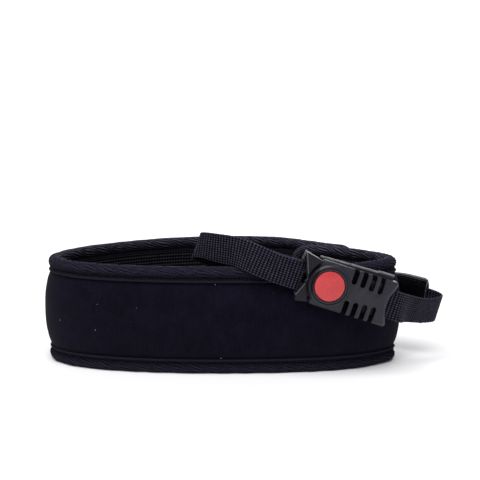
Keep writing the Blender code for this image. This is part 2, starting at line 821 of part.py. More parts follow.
def buckle_male(group, cutters, parent, material):
    back = -SHELL_THICKNESS + SHELL_WALL / 2
    plug_top = -SHELL_WALL - GAP
    plug_bottom = -SHELL_THICKNESS + SHELL_WALL + GAP
    ear_top = -GAP
    ear_plate = -(BAR_DROP - WRAP_RADIUS - WEBBING_THICKNESS / 2 - GAP)
    male = plate("buckle_male", plug_outline(), plug_bottom, plug_top, group, material, parent)
    room = WEBBING_WIDTH / 2 + 2 * GAP
    under_boss = -BOSS_SKIRT - GAP
    notch = block("under_boss", (-EAR_LEFT, -SHELL_WIDTH, under_boss),
                  (-SHELL_LEFT + GAP, SHELL_WIDTH, 0.0), cutters, parent)
    root = block("plug_root", (-EAR_WAIST_RIGHT, -room - GAP, back),
                 (-SHELL_LEFT - GAP, room + GAP, under_boss), cutters, parent)
    bar = bar_rod("near_bar", -NEAR_BAR, room + SHELL_WALL / 2, cutters, parent)
    cut(male, notch, "DIFFERENCE")
    cut(male, root, "UNION")
    for side, label in ((1, "upper"), (-1, "lower")):
        thick = plate("ear_" + label, ear_outline(side, False), back, ear_top, cutters,
                      parent=parent)
        thin = plate("ear_face_" + label, ear_outline(side, True), ear_plate, ear_top, cutters,
                     parent=parent)
        cut(male, thick, "UNION")
        cut(male, thin, "UNION")
    cut(male, bar, "UNION")
    smooth_edges(male, 35)
    return male


def emblem_disc(group, parent, material):
    low = BOSS_RISE - DISC_THICKNESS
    disc = drum("emblem_disc", DISC_RADIUS, DISC_RADIUS - GAP, low, BOSS_RISE, group, parent, material)
    smooth_edges(disc, 35)
    return disc


def buckle_place():
    """Where the middle of the boss's base is, and how the buckle is turned."""
    across = BUCKLE_ACROSS * LOOP_WIDTH / 2
    high = BUCKLE_HIGH * PAD_HEIGHT
    front = -LOOP_DEPTH / 2 + PAD_THICKNESS / 2
    place = Vector((across, front - BUCKLE_STANDOFF, high))
    facing = Matrix(((1, 0, 0), (0, 0, -1), (0, 1, 0)))
    tilt = Matrix.Rotation(math.radians(BUCKLE_TILT), 3, "Y")
    yaw = Matrix.Rotation(math.radians(BUCKLE_YAW), 3, "Z")
    return Matrix.Translation(place) @ (yaw @ tilt @ facing).to_4x4()


def stand_on_origin(root, group):
    """Move the whole strap so that the middle of its footprint box is the origin."""
    bpy.context.view_layer.update()
    graph = bpy.context.evaluated_depsgraph_get()
    corners = []
    for thing in group.objects:
        if thing.type == "MESH":
            solid = thing.evaluated_get(graph)
            corners += [thing.matrix_world @ vertex.co for vertex in solid.data.vertices]
    points = np.array([tuple(corner) for corner in corners])
    low = points.min(axis=0)
    high = points.max(axis=0)
    root.location = (-(low[0] + high[0]) / 2, -(low[1] + high[1]) / 2, -low[2])
    bpy.context.view_layer.update()


def main():
    clear_scene()
    group = make_collection("camera_neck_strap")
    cutters = make_collection("cutters")
    materials = {name: make_material(name) for name in COLOURS}
    root = bpy.data.objects.new("strap_origin", None)
    group.objects.link(root)
    placing = buckle_place()
    buckle = bpy.data.objects.new("buckle_origin", None)
    group.objects.link(buckle)
    buckle.matrix_local = placing

    pad = pad_path()
    near_bar = placing @ Vector((-NEAR_BAR, 0.0, WRAP_RADIUS - BAR_DROP))
    far_bar = placing @ Vector((FAR_BAR, 0.0, WRAP_RADIUS - BAR_DROP))
    way_a = strap_path(pad, True, STRAP_A_STATIONS, placing, near_bar)
    way_b = strap_path(pad, False, STRAP_B_STATIONS, placing, far_bar)
    pieces = [
        pad_core(pad, group, materials["pad"]),
        pad_lining(pad, group, materials["lining"]),
        edge_binding(pad, group, materials["tape"]),
        end_tab("end_tab_a", way_a, TAB_A_LENGTH, group, cutters, materials["tab"]),
        end_tab("end_tab_b", way_b, TAB_B_LENGTH, group, cutters, materials["tab"]),
        webbing("strap_a", way_a, 1, group, materials["webbing"]),
        webbing("strap_b", way_b, -1, group, materials["webbing"]),
    ]
    buckle_female(group, cutters, buckle, materials["plastic"])
    buckle_male(group, cutters, buckle, materials["plastic"])
    emblem_disc(group, buckle, materials["red"])
    for piece in pieces:
        piece.parent = root
    buckle.parent = root
    for tool in cutters.objects:
        if tool.parent is None:
            tool.parent = root
    stand_on_origin(root, group)


main()
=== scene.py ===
import math
import bpy
import numpy as np
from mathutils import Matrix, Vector


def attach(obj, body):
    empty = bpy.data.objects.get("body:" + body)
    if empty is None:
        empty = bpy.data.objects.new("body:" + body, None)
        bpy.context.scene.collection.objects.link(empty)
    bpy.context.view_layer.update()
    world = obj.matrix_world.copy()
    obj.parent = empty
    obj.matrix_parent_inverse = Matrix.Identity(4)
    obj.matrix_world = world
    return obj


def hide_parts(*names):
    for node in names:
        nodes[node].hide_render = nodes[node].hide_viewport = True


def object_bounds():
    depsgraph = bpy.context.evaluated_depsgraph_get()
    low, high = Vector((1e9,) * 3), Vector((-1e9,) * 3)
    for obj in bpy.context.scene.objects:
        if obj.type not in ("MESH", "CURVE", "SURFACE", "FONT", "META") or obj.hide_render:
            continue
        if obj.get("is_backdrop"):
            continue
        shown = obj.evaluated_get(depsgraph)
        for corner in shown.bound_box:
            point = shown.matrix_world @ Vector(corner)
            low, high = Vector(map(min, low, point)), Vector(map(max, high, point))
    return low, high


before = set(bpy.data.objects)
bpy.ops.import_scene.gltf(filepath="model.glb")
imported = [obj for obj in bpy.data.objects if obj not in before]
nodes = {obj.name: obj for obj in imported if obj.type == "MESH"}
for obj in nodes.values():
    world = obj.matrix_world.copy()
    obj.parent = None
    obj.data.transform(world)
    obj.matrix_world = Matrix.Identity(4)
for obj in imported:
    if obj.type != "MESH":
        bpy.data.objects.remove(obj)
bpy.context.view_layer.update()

# Camera neck strap, standing rolled up on the long edge of its pad. Everything sewn is modelled
# flat, x along the strap, y out of its face, z across it, and then laid along its route.

loopMiddle = Vector((-0.014374, 0.004062, 0.0))  # middle of the rolled loop in the frame
view = bpy.context.scene.view_settings
view.view_transform = "Standard"


# helpers

def onlySelect(piece):
    bpy.ops.object.select_all(action="DESELECT")
    piece.select_set(True)
    bpy.context.view_layer.objects.active = piece


def applyModifiers(piece):
    onlySelect(piece)
    for modifier in list(piece.modifiers):
        bpy.ops.object.modifier_apply(modifier=modifier.name)


def cleanUp(piece, distance=0.000002, flatAngle=None):
    # doubled points joined unless the distance is None, and the normals turned outward
    onlySelect(piece)
    bpy.ops.object.mode_set(mode="EDIT")
    bpy.ops.mesh.select_all(action="SELECT")
    if distance is not None:
        bpy.ops.mesh.remove_doubles(threshold=distance)
    if flatAngle is not None:
        bpy.ops.mesh.dissolve_limited(angle_limit=math.radians(flatAngle))
    bpy.ops.mesh.normals_make_consistent(inside=False)
    bpy.ops.object.mode_set(mode="OBJECT")


def thicken(piece, thickness):
    modifier = piece.modifiers.new("thickness", "SOLIDIFY")
    modifier.thickness = thickness
    modifier.offset = 0.0


def soften(piece, width, angle=30):
    modifier = piece.modifiers.new("soft edges", "BEVEL")
    modifier.width = width
    modifier.segments = 2
    modifier.limit_method = "ANGLE"
    modifier.angle_limit = math.radians(angle)


def addGrid(name, columns, rows):
    bpy.ops.object.select_all(action="DESELECT")
    bpy.ops.mesh.primitive_grid_add(x_subdivisions=columns, y_subdivisions=rows, size=1.0, calc_uvs=True)
    piece = bpy.context.object
    piece.name = name
    piece.data.name = name
    return piece


def getPoints(piece):
    points = np.zeros(len(piece.data.vertices) * 3)
    piece.data.vertices.foreach_get("co", points)
    return points.reshape(-1, 3)


def setPoints(piece, points):
    piece.data.vertices.foreach_set("co", np.asarray(points, dtype=np.float64).ravel())
    piece.data.update()


def storeUv(piece, uvOfVertex):
    # a UV map in centimetres, so that weaves keep their size on every piece
    mesh = piece.data
    for layer in list(mesh.uv_layers):
        mesh.uv_layers.remove(layer)
    layer = mesh.uv_layers.new(name="cloth")
    corners = np.zeros(len(mesh.loops), dtype=np.int64)
    mesh.loops.foreach_get("vertex_index", corners)
    layer.data.foreach_set("uv", (np.asarray(uvOfVertex)[corners] * 100).ravel())


def ease(share):
    share = np.clip(share, 0.0, 1.0)
    return share * share * (3 - 2 * share)


def unit(rows):
    return rows / np.linalg.norm(rows, axis=1)[:, None]


def smoothLine(points, start=None, end=None, perSpan=60):
    # a smooth line through the points, with its ends free or held to a direction
    points = np.array(points, float)
    count = len(points)
    step = np.linalg.norm(np.diff(points[:, :3], axis=0), axis=1)
    system = np.zeros((count, count))
    right = np.zeros(points.shape)
    for i in range(1, count - 1):
        a, b = step[i - 1], step[i]
        system[i, i - 1:i + 2] = (b, 2 * (a + b), a)
        right[i] = 3 * (b * (points[i] - points[i - 1]) / a + a * (points[i + 1] - points[i]) / b)
    for row, near, gap, held, sign in ((0, 1, step[0], start, 1), (-1, -2, step[-1], end, -1)):
        system[row, row] = 2 if held is None else 1
        if held is None:
            system[row, near] = 1
            right[row] = sign * 3 * (points[near] - points[row]) / gap
        else:
            right[row, :3] = held
    slope = np.linalg.solve(system, right)
    line = []
    for i in range(count - 1):
        t = np.linspace(0, 1, perSpan, endpoint=False)[:, None]
        line.append((2 * t ** 3 - 3 * t ** 2 + 1) * points[i] + (3 * t ** 2 - 2 * t ** 3) * points[i + 1]
                    + (t ** 3 - 2 * t ** 2 + t) * step[i] * slope[i]
                    + (t ** 3 - t ** 2) * step[i] * slope[i + 1])
    line.append(points[-1:])
    return np.vstack(line)


def makeRoute(line, lean=None):
    # places along a line with the directions along it, out of its face and across it
    place = line[:, :3]
    run = unit(np.gradient(place, axis=0))
    up = np.array((0.0, 0.0, 1.0)) - run * run[:, 2:]
    up = unit(up)
    side = np.cross(up, run)
    if lean is None:
        lean = np.zeros(len(line))
    lean = np.radians(lean)[:, None]
    across = up * np.cos(lean) + side * np.sin(lean)
    return closeRoute(place, run, across)


def closeRoute(place, run, across):
    steps = np.linalg.norm(np.diff(place, axis=0), axis=1)
    at = np.concatenate(([0.0], np.cumsum(steps)))
    return {"at": at, "place": place, "run": run, "across": across,
            "side": np.cross(across, run), "length": at[-1]}


def readRoute(route, at, key):
    return np.stack([np.interp(at, route["at"], column) for column in route[key].T], axis=1)


def layAlong(piece, route, bulge=None):
    points = getPoints(piece)
    at = np.clip(points[:, 0], 0.0, route["length"])
    out = points[:, 1].copy()
    if bulge is not None:
        out += bulge(points[:, 0], points[:, 2])
    run = unit(readRoute(route, at, "run"))
    side = unit(readRoute(route, at, "side"))
    across = unit(readRoute(route, at, "across"))
    laid = (readRoute(route, at, "place") + run * (points[:, 0] - at)[:, None]
            + side * out[:, None] + across * points[:, 2:3])
    setPoints(piece, laid + np.array(loopMiddle))


def dress(piece, material, replaced=(), smooth=True, keepLook=False):
    if not keepLook:
        piece.data.materials.clear()
        piece.data.materials.append(material)
    if smooth:
        onlySelect(piece)
        bpy.ops.object.shade_smooth()
    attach(piece, "root")
    for node in replaced:
        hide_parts(node)
    return piece


# materials

def startMaterial(name, colour, roughness, specular=0.5, sheen=0.0, coat=0.0):
    material = bpy.data.materials.new(name)
    material.use_nodes = True
    shader = material.node_tree.nodes["Principled BSDF"]
    shader.inputs["Base Color"].default_value = (*colour, 1.0)
    shader.inputs["Roughness"].default_value = roughness
    shader.inputs["Specular IOR Level"].default_value = specular
    shader.inputs["Sheen Weight"].default_value = sheen
    shader.inputs["Sheen Roughness"].default_value = 0.5
    shader.inputs["Coat Weight"].default_value = coat
    return material


def addNode(material, kind, links=(), **values):
    node = material.node_tree.nodes.new(kind)
    for key, value in values.items():
        if key.startswith("in_"):
            node.inputs[int(key[3:])].default_value = value
        else:
            setattr(node, key, value)
    for socket, source in links:
        material.node_tree.links.new(source, node.inputs[socket])
    return node


def tint(material, factor, dark, light, low=0.3, high=0.7):
    # colours between two tones, chosen by a factor
    ramp = addNode(material, "ShaderNodeValToRGB", [(0, factor)])
    ramp.color_ramp.elements[0].position = low
    ramp.color_ramp.elements[0].color = (*dark, 1.0)
    ramp.color_ramp.elements[1].position = high
    ramp.color_ramp.elements[1].color = (*light, 1.0)
    return ramp.outputs[0]


def mixColours(material, factor, first, second, how="MIX"):
    mix = addNode(material, "ShaderNodeMix", data_type="RGBA", blend_type=how)
    links = material.node_tree.links
    for socket, source in ((0, factor), (6, first), (7, second)):
        if hasattr(source, "is_output"):
            links.new(source, mix.inputs[socket])
        else:
            mix.inputs[socket].default_value = source
    return mix.outputs[2]


def join(material, source, socket):
    shader = material.node_tree.nodes["Principled BSDF"]
    material.node_tree.links.new(source, shader.inputs[socket])


def addBump(material, height, strength, distance, before=None):
    bump = addNode(material, "ShaderNodeBump", [("Height", height)])
    bump.inputs["Strength"].default_value = strength
    bump.inputs["Distance"].default_value = distance
    if before is not None:
        material.node_tree.links.new(before, bump.inputs["Normal"])
    return bump.outputs[0]


def calc(material, operation, *sources):
    node = addNode(material, "ShaderNodeMath", operation=operation)
    for i, source in enumerate(sources):
        if hasattr(source, "is_output"):
            material.node_tree.links.new(source, node.inputs[i])
        else:
            node.inputs[i].default_value = source
    return node.outputs[0]


def uvParts(material):
    uv = addNode(material, "ShaderNodeUVMap", uv_map="cloth")
    parts = addNode(material, "ShaderNodeSeparateXYZ", [(0, uv.outputs[0])])
    return uv.outputs[0], parts.outputs[0], parts.outputs[1]


def objectNoise(material, scale, detail=3.0, roughness=0.55):
    place = addNode(material, "ShaderNodeTexCoord")
    return noiseAt(material, place.outputs["Object"], scale, detail, roughness)


def noiseAt(material, source, scale, detail=3.0, roughness=0.55):
    noise = addNode(material, "ShaderNodeTexNoise", [("Vector", source)])
    noise.inputs["Scale"].default_value = scale
    noise.inputs["Detail"].default_value = detail
    noise.inputs["Roughness"].default_value = roughness
    return noise.outputs[0]


def padFabric():
    look = {"dark": (0.0022, 0.0016, 0.0058), "light": (0.0056, 0.0046, 0.0122), "creaseShading": (0.25, 0.25, 0.25),
            "lint": (0.024, 0.022, 0.030), "brightLint": (0.22, 0.21, 0.24), "lintSpacing": 150.0,
            "lintSize": 0.055, "dimFrom": 0.80, "brightFrom": 0.72, "rimShadeFrom": 0.99, "rimShadeTo": 1.22,
            "length": padLength * 100, "height": 7.0}
    made = startMaterial("knitFacedFoam", look["light"], 0.88, 0.06, 0.02)
    uv, u, v = uvParts(made)
    cloudy = objectNoise(made, 70.0, 5.0, 0.65)
    fine = objectNoise(made, 1100.0, 3.0, 0.7)
    wales = addNode(made, "ShaderNodeMapping", [("Vector", uv)])
    wales.inputs["Scale"].default_value = (9.0, 0.9, 1.0)
    streaks = noiseAt(made, wales.outputs[0], 1.0, 3.0, 0.6)
    colour = tint(made, cloudy, look["dark"], look["light"], 0.25, 0.75)
    fuzzy = tint(made, fine, (0.55, 0.55, 0.55), (1.45, 1.45, 1.45), 0.3, 0.7)
    colour = mixColours(made, 1.0, colour, fuzzy, "MULTIPLY")
    streaky = tint(made, streaks, (0.80, 0.80, 0.80), (1.20, 1.20, 1.20), 0.35, 0.65)
    colour = mixColours(made, 1.0, colour, streaky, "MULTIPLY")
    # painted shade: the foam is darkened to a quarter at the tape's inner edge and under the tape, lightening
    # over about 2 mm inward
    fromEnd = calc(made, "MINIMUM", u, calc(made, "SUBTRACT", look["length"], u))
    fromSide = calc(made, "MINIMUM", v, calc(made, "SUBTRACT", look["height"], v))
    fromRim = calc(made, "MINIMUM", fromEnd, fromSide)
    span = addNode(made, "ShaderNodeMapRange", [(0, fromRim)], in_1=look["rimShadeFrom"], in_2=look["rimShadeTo"])
    creaseShading = tint(made, span.outputs[0], look["creaseShading"], (1.0, 1.0, 1.0), 0.0, 1.0)
    colour = mixColours(made, 1.0, colour, creaseShading, "MULTIPLY")
    place = addNode(made, "ShaderNodeTexCoord")
    specks = addNode(made, "ShaderNodeTexVoronoi", [("Vector", place.outputs["Object"])])
    specks.inputs["Scale"].default_value = look["lintSpacing"]
    picked = addNode(made, "ShaderNodeSeparateColor", [(0, specks.outputs["Color"])])
    small = calc(made, "LESS_THAN", specks.outputs["Distance"], look["lintSize"])
    some = calc(made, "MULTIPLY", small, calc(made, "GREATER_THAN", picked.outputs[0], look["dimFrom"]))
    colour = mixColours(made, some, colour, (*look["lint"], 1.0))
    rare = calc(made, "MULTIPLY", small, calc(made, "GREATER_THAN", picked.outputs[1], look["brightFrom"]))
    colour = mixColours(made, rare, colour, (*look["brightLint"], 1.0))
    join(made, colour, "Base Color")
    knit = addBump(made, fine, 0.5, 0.0003)
    join(made, addBump(made, cloudy, 0.3, 0.001, knit), "Normal")
    return made


def dottedLining():
    look = {"ground": (0.0008, 0.0007, 0.0014), "dot": (0.0420, 0.0390, 0.0560),
            "alongPitch": 0.20, "upPitch": 0.23}
    made = startMaterial("dottedGripLining", look["ground"], 0.70, 0.05)
    uv, u, v = uvParts(made)
    waveU = calc(made, "SINE", calc(made, "MULTIPLY", u, 2 * math.pi / look["alongPitch"]))
    waveV = calc(made, "SINE", calc(made, "MULTIPLY", v, 2 * math.pi / look["upPitch"]))
    barU = calc(made, "MULTIPLY_ADD", waveU, 0.30, 0.70)
    barV = calc(made, "MULTIPLY_ADD", waveV, 0.50, 0.50)
    dots = calc(made, "MULTIPLY", barU, barV)
    uneven = tint(made, noiseAt(made, uv, 3.0, 2.0), (0.6, 0.6, 0.6), (1.3, 1.3, 1.3), 0.3, 0.7)
    colour = tint(made, dots, look["ground"], look["dot"], 0.35, 0.80)
    join(made, mixColours(made, 1.0, colour, uneven, "MULTIPLY"), "Base Color")
    join(made, addBump(made, dots, 0.8, 0.0006), "Normal")
    return made


def wovenTape():
    look = {"dark": (0.0013, 0.0010, 0.0034), "light": (0.0280, 0.0236, 0.0435), "twill": 0.075,
            "lean": 2.4, "creaseShading": (0.16, 0.16, 0.16), "strandHighlight": (0.080, 0.075, 0.105),
            "plain": 0.60, "strandHighlightFrom": 0.34}
    made = startMaterial("twillTape", look["light"], 0.84, 0.06, 0.0)
    uv, u, v = uvParts(made)
    slant = calc(made, "ADD", u, calc(made, "MULTIPLY", v, look["lean"]))
    strand = addNode(made, "ShaderNodeAttribute", attribute_name="strand").outputs["Fac"]
    fine = calc(made, "SINE", calc(made, "MULTIPLY", slant, 2 * math.pi / look["twill"]))
    fine = calc(made, "MULTIPLY_ADD", fine, 0.5, 0.5)
    stretched = addNode(made, "ShaderNodeMapping", [("Vector", uv)])
    stretched.inputs["Rotation"].default_value = (0.0, 0.0, math.atan(1 / look["lean"]))
    stretched.inputs["Scale"].default_value = (2.2, 11.0, 1.0)
    fibres = noiseAt(made, stretched.outputs[0], 1.0, 4.0, 0.65)
    woven = calc(made, "ADD", calc(made, "MULTIPLY", strand, 0.42), calc(made, "MULTIPLY", fibres, 0.80))
    plain = addNode(made, "ShaderNodeAttribute", attribute_name="plain").outputs["Fac"]
    smoother = calc(made, "MULTIPLY", calc(made, "SUBTRACT", look["plain"], woven), plain)
    woven = calc(made, "ADD", woven, smoother)
    # painted light and shade: the strands' crests are lighter and the gaps between them darker; the fibre
    # noise is the tape's own tone
    colour = tint(made, woven, look["dark"], look["light"], 0.42, 0.80)
    shade = tint(made, fine, (0.80, 0.80, 0.80), (1.15, 1.15, 1.15), 0.1, 0.9)
    colour = mixColours(made, 1.0, colour, shade, "MULTIPLY")
    # painted highlight: bright dashes on the strands over the tape's inner face
    inner = addNode(made, "ShaderNodeAttribute", attribute_name="inner")
    bright = calc(made, "GREATER_THAN", calc(made, "MULTIPLY", strand, fibres), look["strandHighlightFrom"])
    highlighted = calc(made, "MULTIPLY", bright, inner.outputs["Fac"])
    colour = mixColours(made, highlighted, colour, (*look["strandHighlight"], 1.0))
    # painted shade: the tape is darkened along its stitch groove, at its inner edge against the pad and
    # across its face towards the groove
    creaseShading = addNode(made, "ShaderNodeAttribute", attribute_name="creaseShading")
    dimmed = tint(made, creaseShading.outputs["Fac"], (1.0, 1.0, 1.0), look["creaseShading"], 0.0, 1.0)
    join(made, mixColours(made, 1.0, colour, dimmed, "MULTIPLY"), "Base Color")
    ropy = addBump(made, woven, 0.7, 0.0006)
    join(made, addBump(made, fine, 0.4, 0.0002, ropy), "Normal")
    return made


def ribbedWebbing():
    look = {"groove": (0.0008, 0.0008, 0.0016), "crest": (0.0465, 0.0450, 0.0750)}
    made = startMaterial("ribbedWebbing", look["crest"], 0.66, 0.06, 0.0)
    weaveShading = addNode(made, "ShaderNodeAttribute", attribute_name="weaveShading")
    grain = objectNoise(made, 2200.0, 2.0)
    blotch = objectNoise(made, 420.0, 3.0)
    # painted light and shade: the ribs' grooves are near black and their crests light
    colour = tint(made, weaveShading.outputs["Fac"], look["groove"], look["crest"], 0.40, 0.85)
    yarn = tint(made, grain, (0.70, 0.70, 0.70), (1.30, 1.30, 1.30), 0.3, 0.7)
    colour = mixColours(made, 1.0, colour, yarn, "MULTIPLY")
    uneven = tint(made, blotch, (0.60, 0.60, 0.60), (1.35, 1.35, 1.35), 0.3, 0.7)
    join(made, mixColours(made, 1.0, colour, uneven, "MULTIPLY"), "Base Color")
    join(made, addBump(made, grain, 0.4, 0.0002), "Normal")
    return made


def coatedTab():
    look = {"dark": (0.0007, 0.0006, 0.0014), "light": (0.0018, 0.0016, 0.0036), "rim": (0.115, 0.112, 0.125),
            "rootHalf": 1.775, "narrowing": 0.0346, "rimHighlightWide": 0.14, "grooveAt": 0.070, "grooveHalf": 0.022}
    made = startMaterial("coatedTab", look["light"], 0.62, 0.06)
    grain = objectNoise(made, 900.0, 5.0, 0.6)
    soft = objectNoise(made, 90.0, 3.0)
    specks = objectNoise(made, 700.0, 2.0, 0.5)
    colour = tint(made, soft, look["dark"], look["light"])
    spotted = tint(made, specks, (1.0, 1.0, 1.0), (6.0, 6.0, 6.5), 0.62, 0.70)
    colour = mixColours(made, 1.0, colour, spotted, "MULTIPLY")
    uv, along, across = uvParts(made)
    # painted highlight: a pale band along both long edges of each leaf, with a thin dark line running through
    # it
    half = calc(made, "SUBTRACT", look["rootHalf"], calc(made, "MULTIPLY", along, look["narrowing"]))
    fromEdge = calc(made, "SUBTRACT", half, calc(made, "ABSOLUTE", across))
    rolled = calc(made, "LESS_THAN", fromEdge, look["rimHighlightWide"])
    off = calc(made, "ABSOLUTE", calc(made, "SUBTRACT", fromEdge, look["grooveAt"]))
    rolled = calc(made, "MULTIPLY", rolled, calc(made, "GREATER_THAN", off, look["grooveHalf"]))
    rolled = calc(made, "MULTIPLY", rolled, calc(made, "MULTIPLY_ADD", specks, 0.9, 0.2))
    join(made, mixColours(made, rolled, colour, (*look["rim"], 1.0)), "Base Color")
    join(made, addBump(made, grain, 0.30, 0.0003), "Normal")
    return made


def cutTabEdge():
    made = startMaterial("cutTabEdge", (0.060, 0.058, 0.066), 0.65, 0.15)
    fibre = objectNoise(made, 800.0, 3.0)
    join(made, tint(made, fibre, (0.045, 0.043, 0.055), (0.190, 0.185, 0.200), 0.35, 0.65), "Base Color")
    join(made, addBump(made, fibre, 0.4, 0.0003), "Normal")
    return made


def sewingThread():
    made = startMaterial("sewingThread", (0.012, 0.011, 0.017), 0.65, 0.10, 0.02)
    twist = objectNoise(made, 3500.0, 1.0)
    join(made, tint(made, twist, (0.006, 0.0055, 0.009), (0.020, 0.019, 0.028)), "Base Color")
    join(made, addBump(made, twist, 0.3, 0.0001), "Normal")
    return made


def mouldedPlastic():
    # the UV map holds places in the buckle's own plane, in centimetres from the boss
    look = {"dark": (0.0135, 0.0125, 0.0190), "light": (0.0235, 0.0222, 0.0315),
            "creaseShading": (0.085, 0.083, 0.098, 1.0), "ring": 1.17, "ringHalf": 0.035, "foldAt": -1.55,
            "foldLean": 0.40, "foldFrom": 0.37, "hatch": 0.13, "earFrom": -0.95, "creaseHighlightHalf": 0.035,
            "gloss": 0.26, "dullGloss": 0.02}
    made = startMaterial("mouldedPlastic", look["light"], 0.36, look["gloss"])
    uv, x, y = uvParts(made)
    soft = objectNoise(made, 120.0, 4.0)
    grain = objectNoise(made, 2600.0, 2.0)
    colour = tint(made, soft, look["dark"], look["light"])
    radius = calc(made, "SQRT", calc(made, "ADD", calc(made, "MULTIPLY", x, x), calc(made, "MULTIPLY", y, y)))
    off = calc(made, "ABSOLUTE", calc(made, "SUBTRACT", radius, look["ring"]))
    groove = calc(made, "LESS_THAN", off, look["ringHalf"])
    high = calc(made, "SUBTRACT", calc(made, "ABSOLUTE", y), look["foldFrom"])
    leaning = calc(made, "MULTIPLY", high, look["foldLean"])
    fold = calc(made, "ADD", calc(made, "SUBTRACT", x, look["foldAt"]), leaning)
    onEar = calc(made, "LESS_THAN", x, look["earFrom"])
    shadedFarFacet = calc(made, "MULTIPLY", onEar, calc(made, "LESS_THAN", fold, 0.0))
    lines = calc(made, "SINE", calc(made, "MULTIPLY", fold, 2 * math.pi / look["hatch"]))
    hatched = calc(made, "MULTIPLY", onEar, calc(made, "LESS_THAN", lines, -0.10))
    # painted highlight: a pale line along the ear's fold
    nearFold = calc(made, "LESS_THAN", calc(made, "ABSOLUTE", fold), look["creaseHighlightHalf"])
    creaseHighlight = calc(made, "MULTIPLY", onEar, nearFold)
    # painted shade: darker along the groove ring round the boss, on the ear's far facet past the fold, along
    # the hatch lines and over the whole ear; the gloss drops with it
    shade = calc(made, "ADD", calc(made, "MULTIPLY", groove, 0.75), calc(made, "MULTIPLY", shadedFarFacet, 0.40))
    shade = calc(made, "ADD", shade, calc(made, "MULTIPLY", hatched, 0.40))
    shade = calc(made, "ADD", shade, calc(made, "MULTIPLY", onEar, 0.24))
    dimmed = tint(made, shade, (1.0, 1.0, 1.0), (0.10, 0.10, 0.10), 0.0, 1.0)
    colour = mixColours(made, 1.0, colour, dimmed, "MULTIPLY")
    join(made, mixColours(made, creaseHighlight, colour, look["creaseShading"]), "Base Color")
    dull = addNode(made, "ShaderNodeMapRange", [(0, shade)], in_3=look["gloss"], in_4=look["dullGloss"])
    join(made, dull.outputs[0], "Specular IOR Level")
    rough = addNode(made, "ShaderNodeMapRange", [(0, soft)], in_3=0.30, in_4=0.44)
    join(made, rough.outputs[0], "Roughness")
    join(made, addBump(made, grain, 0.22, 0.00012), "Normal")
    return made


def railTopHighlight():
    # painted highlight: a pale colour for the light on the rail's upper faces
    made = startMaterial("paintedRailHighlight", (0.16, 0.157, 0.175), 0.35, 0.5)
    soft = objectNoise(made, 300.0, 3.0)
    join(made, tint(made, soft, (0.09, 0.088, 0.105), (0.24, 0.235, 0.260), 0.3, 0.7), "Base Color")
    join(made, addBump(made, soft, 0.2, 0.0002), "Normal")
    return made


def slotShade():
    made = startMaterial("deepSlot", (0.0012, 0.0012, 0.0016), 0.7, 0.05)
    soft = objectNoise(made, 400.0, 2.0)
    join(made, tint(made, soft, (0.0008, 0.0008, 0.0011), (0.0020, 0.0020, 0.0026)), "Base Color")
    return made


def redDisc():
    made = startMaterial("redGlossDisc", (0.56, 0.050, 0.054), 0.25, 0.25, 0.0, 0.15)
    soft = objectNoise(made, 90.0, 2.0)
    join(made, tint(made, soft, (0.52, 0.044, 0.048), (0.62, 0.062, 0.066)), "Base Color")
    fine = objectNoise(made, 1500.0, 2.0)
    rough = addNode(made, "ShaderNodeMapRange", [(0, fine)], in_3=0.20, in_4=0.34)
    join(made, rough.outputs[0], "Roughness")
    return made


# the pad's route

padRoll = {
    "height": 0.070, "corner": 0.012, "bow": 0.0030, "bowShape": 2.4, "bowFade": 0.065, "bowStart": 0.012,
    "bends": ((0.04765, 0.02594), (0.06808, 0.02042), (0.09017, 0.00651), (0.10624, -0.00773),
              (0.11127, -0.01877), (0.10401, -0.03069), (0.08158, -0.04471), (0.04665, -0.05244),
              (0.00368, -0.05509), (-0.03828, -0.05332), (-0.07633, -0.04609), (-0.10133, -0.03323),
              (-0.11160, -0.01573), (-0.10334, 0.00618), (-0.07633, 0.02926), (-0.03828, 0.04819),
              (0.00368, 0.05509), (0.04163, 0.04996), (0.06763, 0.03141), (0.09162, 0.01838)),
}
padRoute = makeRoute(smoothLine([(x, y, 0.0) for x, y in padRoll["bends"]]))
padLength = padRoute["length"]
padHeight = padRoll["height"]

foamLook = padFabric()
liningLook = dottedLining()
tapeLook = wovenTape()
webbingLook = ribbedWebbing()
tabLook = coatedTab()
tabEdgeLook = cutTabEdge()
threadLook = sewingThread()
plasticLook = mouldedPlastic()
slotLook = slotShade()
railHighlightLook = railTopHighlight()
discLook = redDisc()
print("materials made")


def padBulge(along, high):
    rise = np.maximum(1 - np.abs(2 * high / padHeight - 1) ** padRoll["bowShape"], 0.0)
    pastTab = np.minimum(along, padLength - along) - padRoll["bowStart"]
    return padRoll["bow"] * rise * ease(pastTab / padRoll["bowFade"])


def keepInCorners(along, high, inset):
    # squeeze the heights near both ends so that a layer stays inside the pad's round corners
    radius = padRoll["corner"] - inset
    fromEnd = np.clip(np.minimum(along, padLength - along) - inset, 0.0, radius)
    drop = radius - np.sqrt(np.maximum(radius ** 2 - (radius - fromEnd) ** 2, 0.0))
    full = padHeight / 2 - inset
    return padHeight / 2 + (high - padHeight / 2) * (full - drop) / full


# foam pad

foam = {"inset": 0.0030, "reach": 0.0098, "rimHalf": 0.0017, "backHalf": 0.0020, "swell": 0.0019,
        "swellOver": 0.0045, "heldPast": 0.0012, "spacing": 0.0040, "pressure": 4.0, "cap": 0.0012,
        "alongShare": 0.3, "frames": 16, "fill": 0.5}


def foamShape(along, high):
    edge = np.minimum(np.minimum(along, padLength - along), np.minimum(high, padHeight - high))
    return foam["rimHalf"] + foam["swell"] * ease((edge - foam["reach"]) / foam["swellOver"])


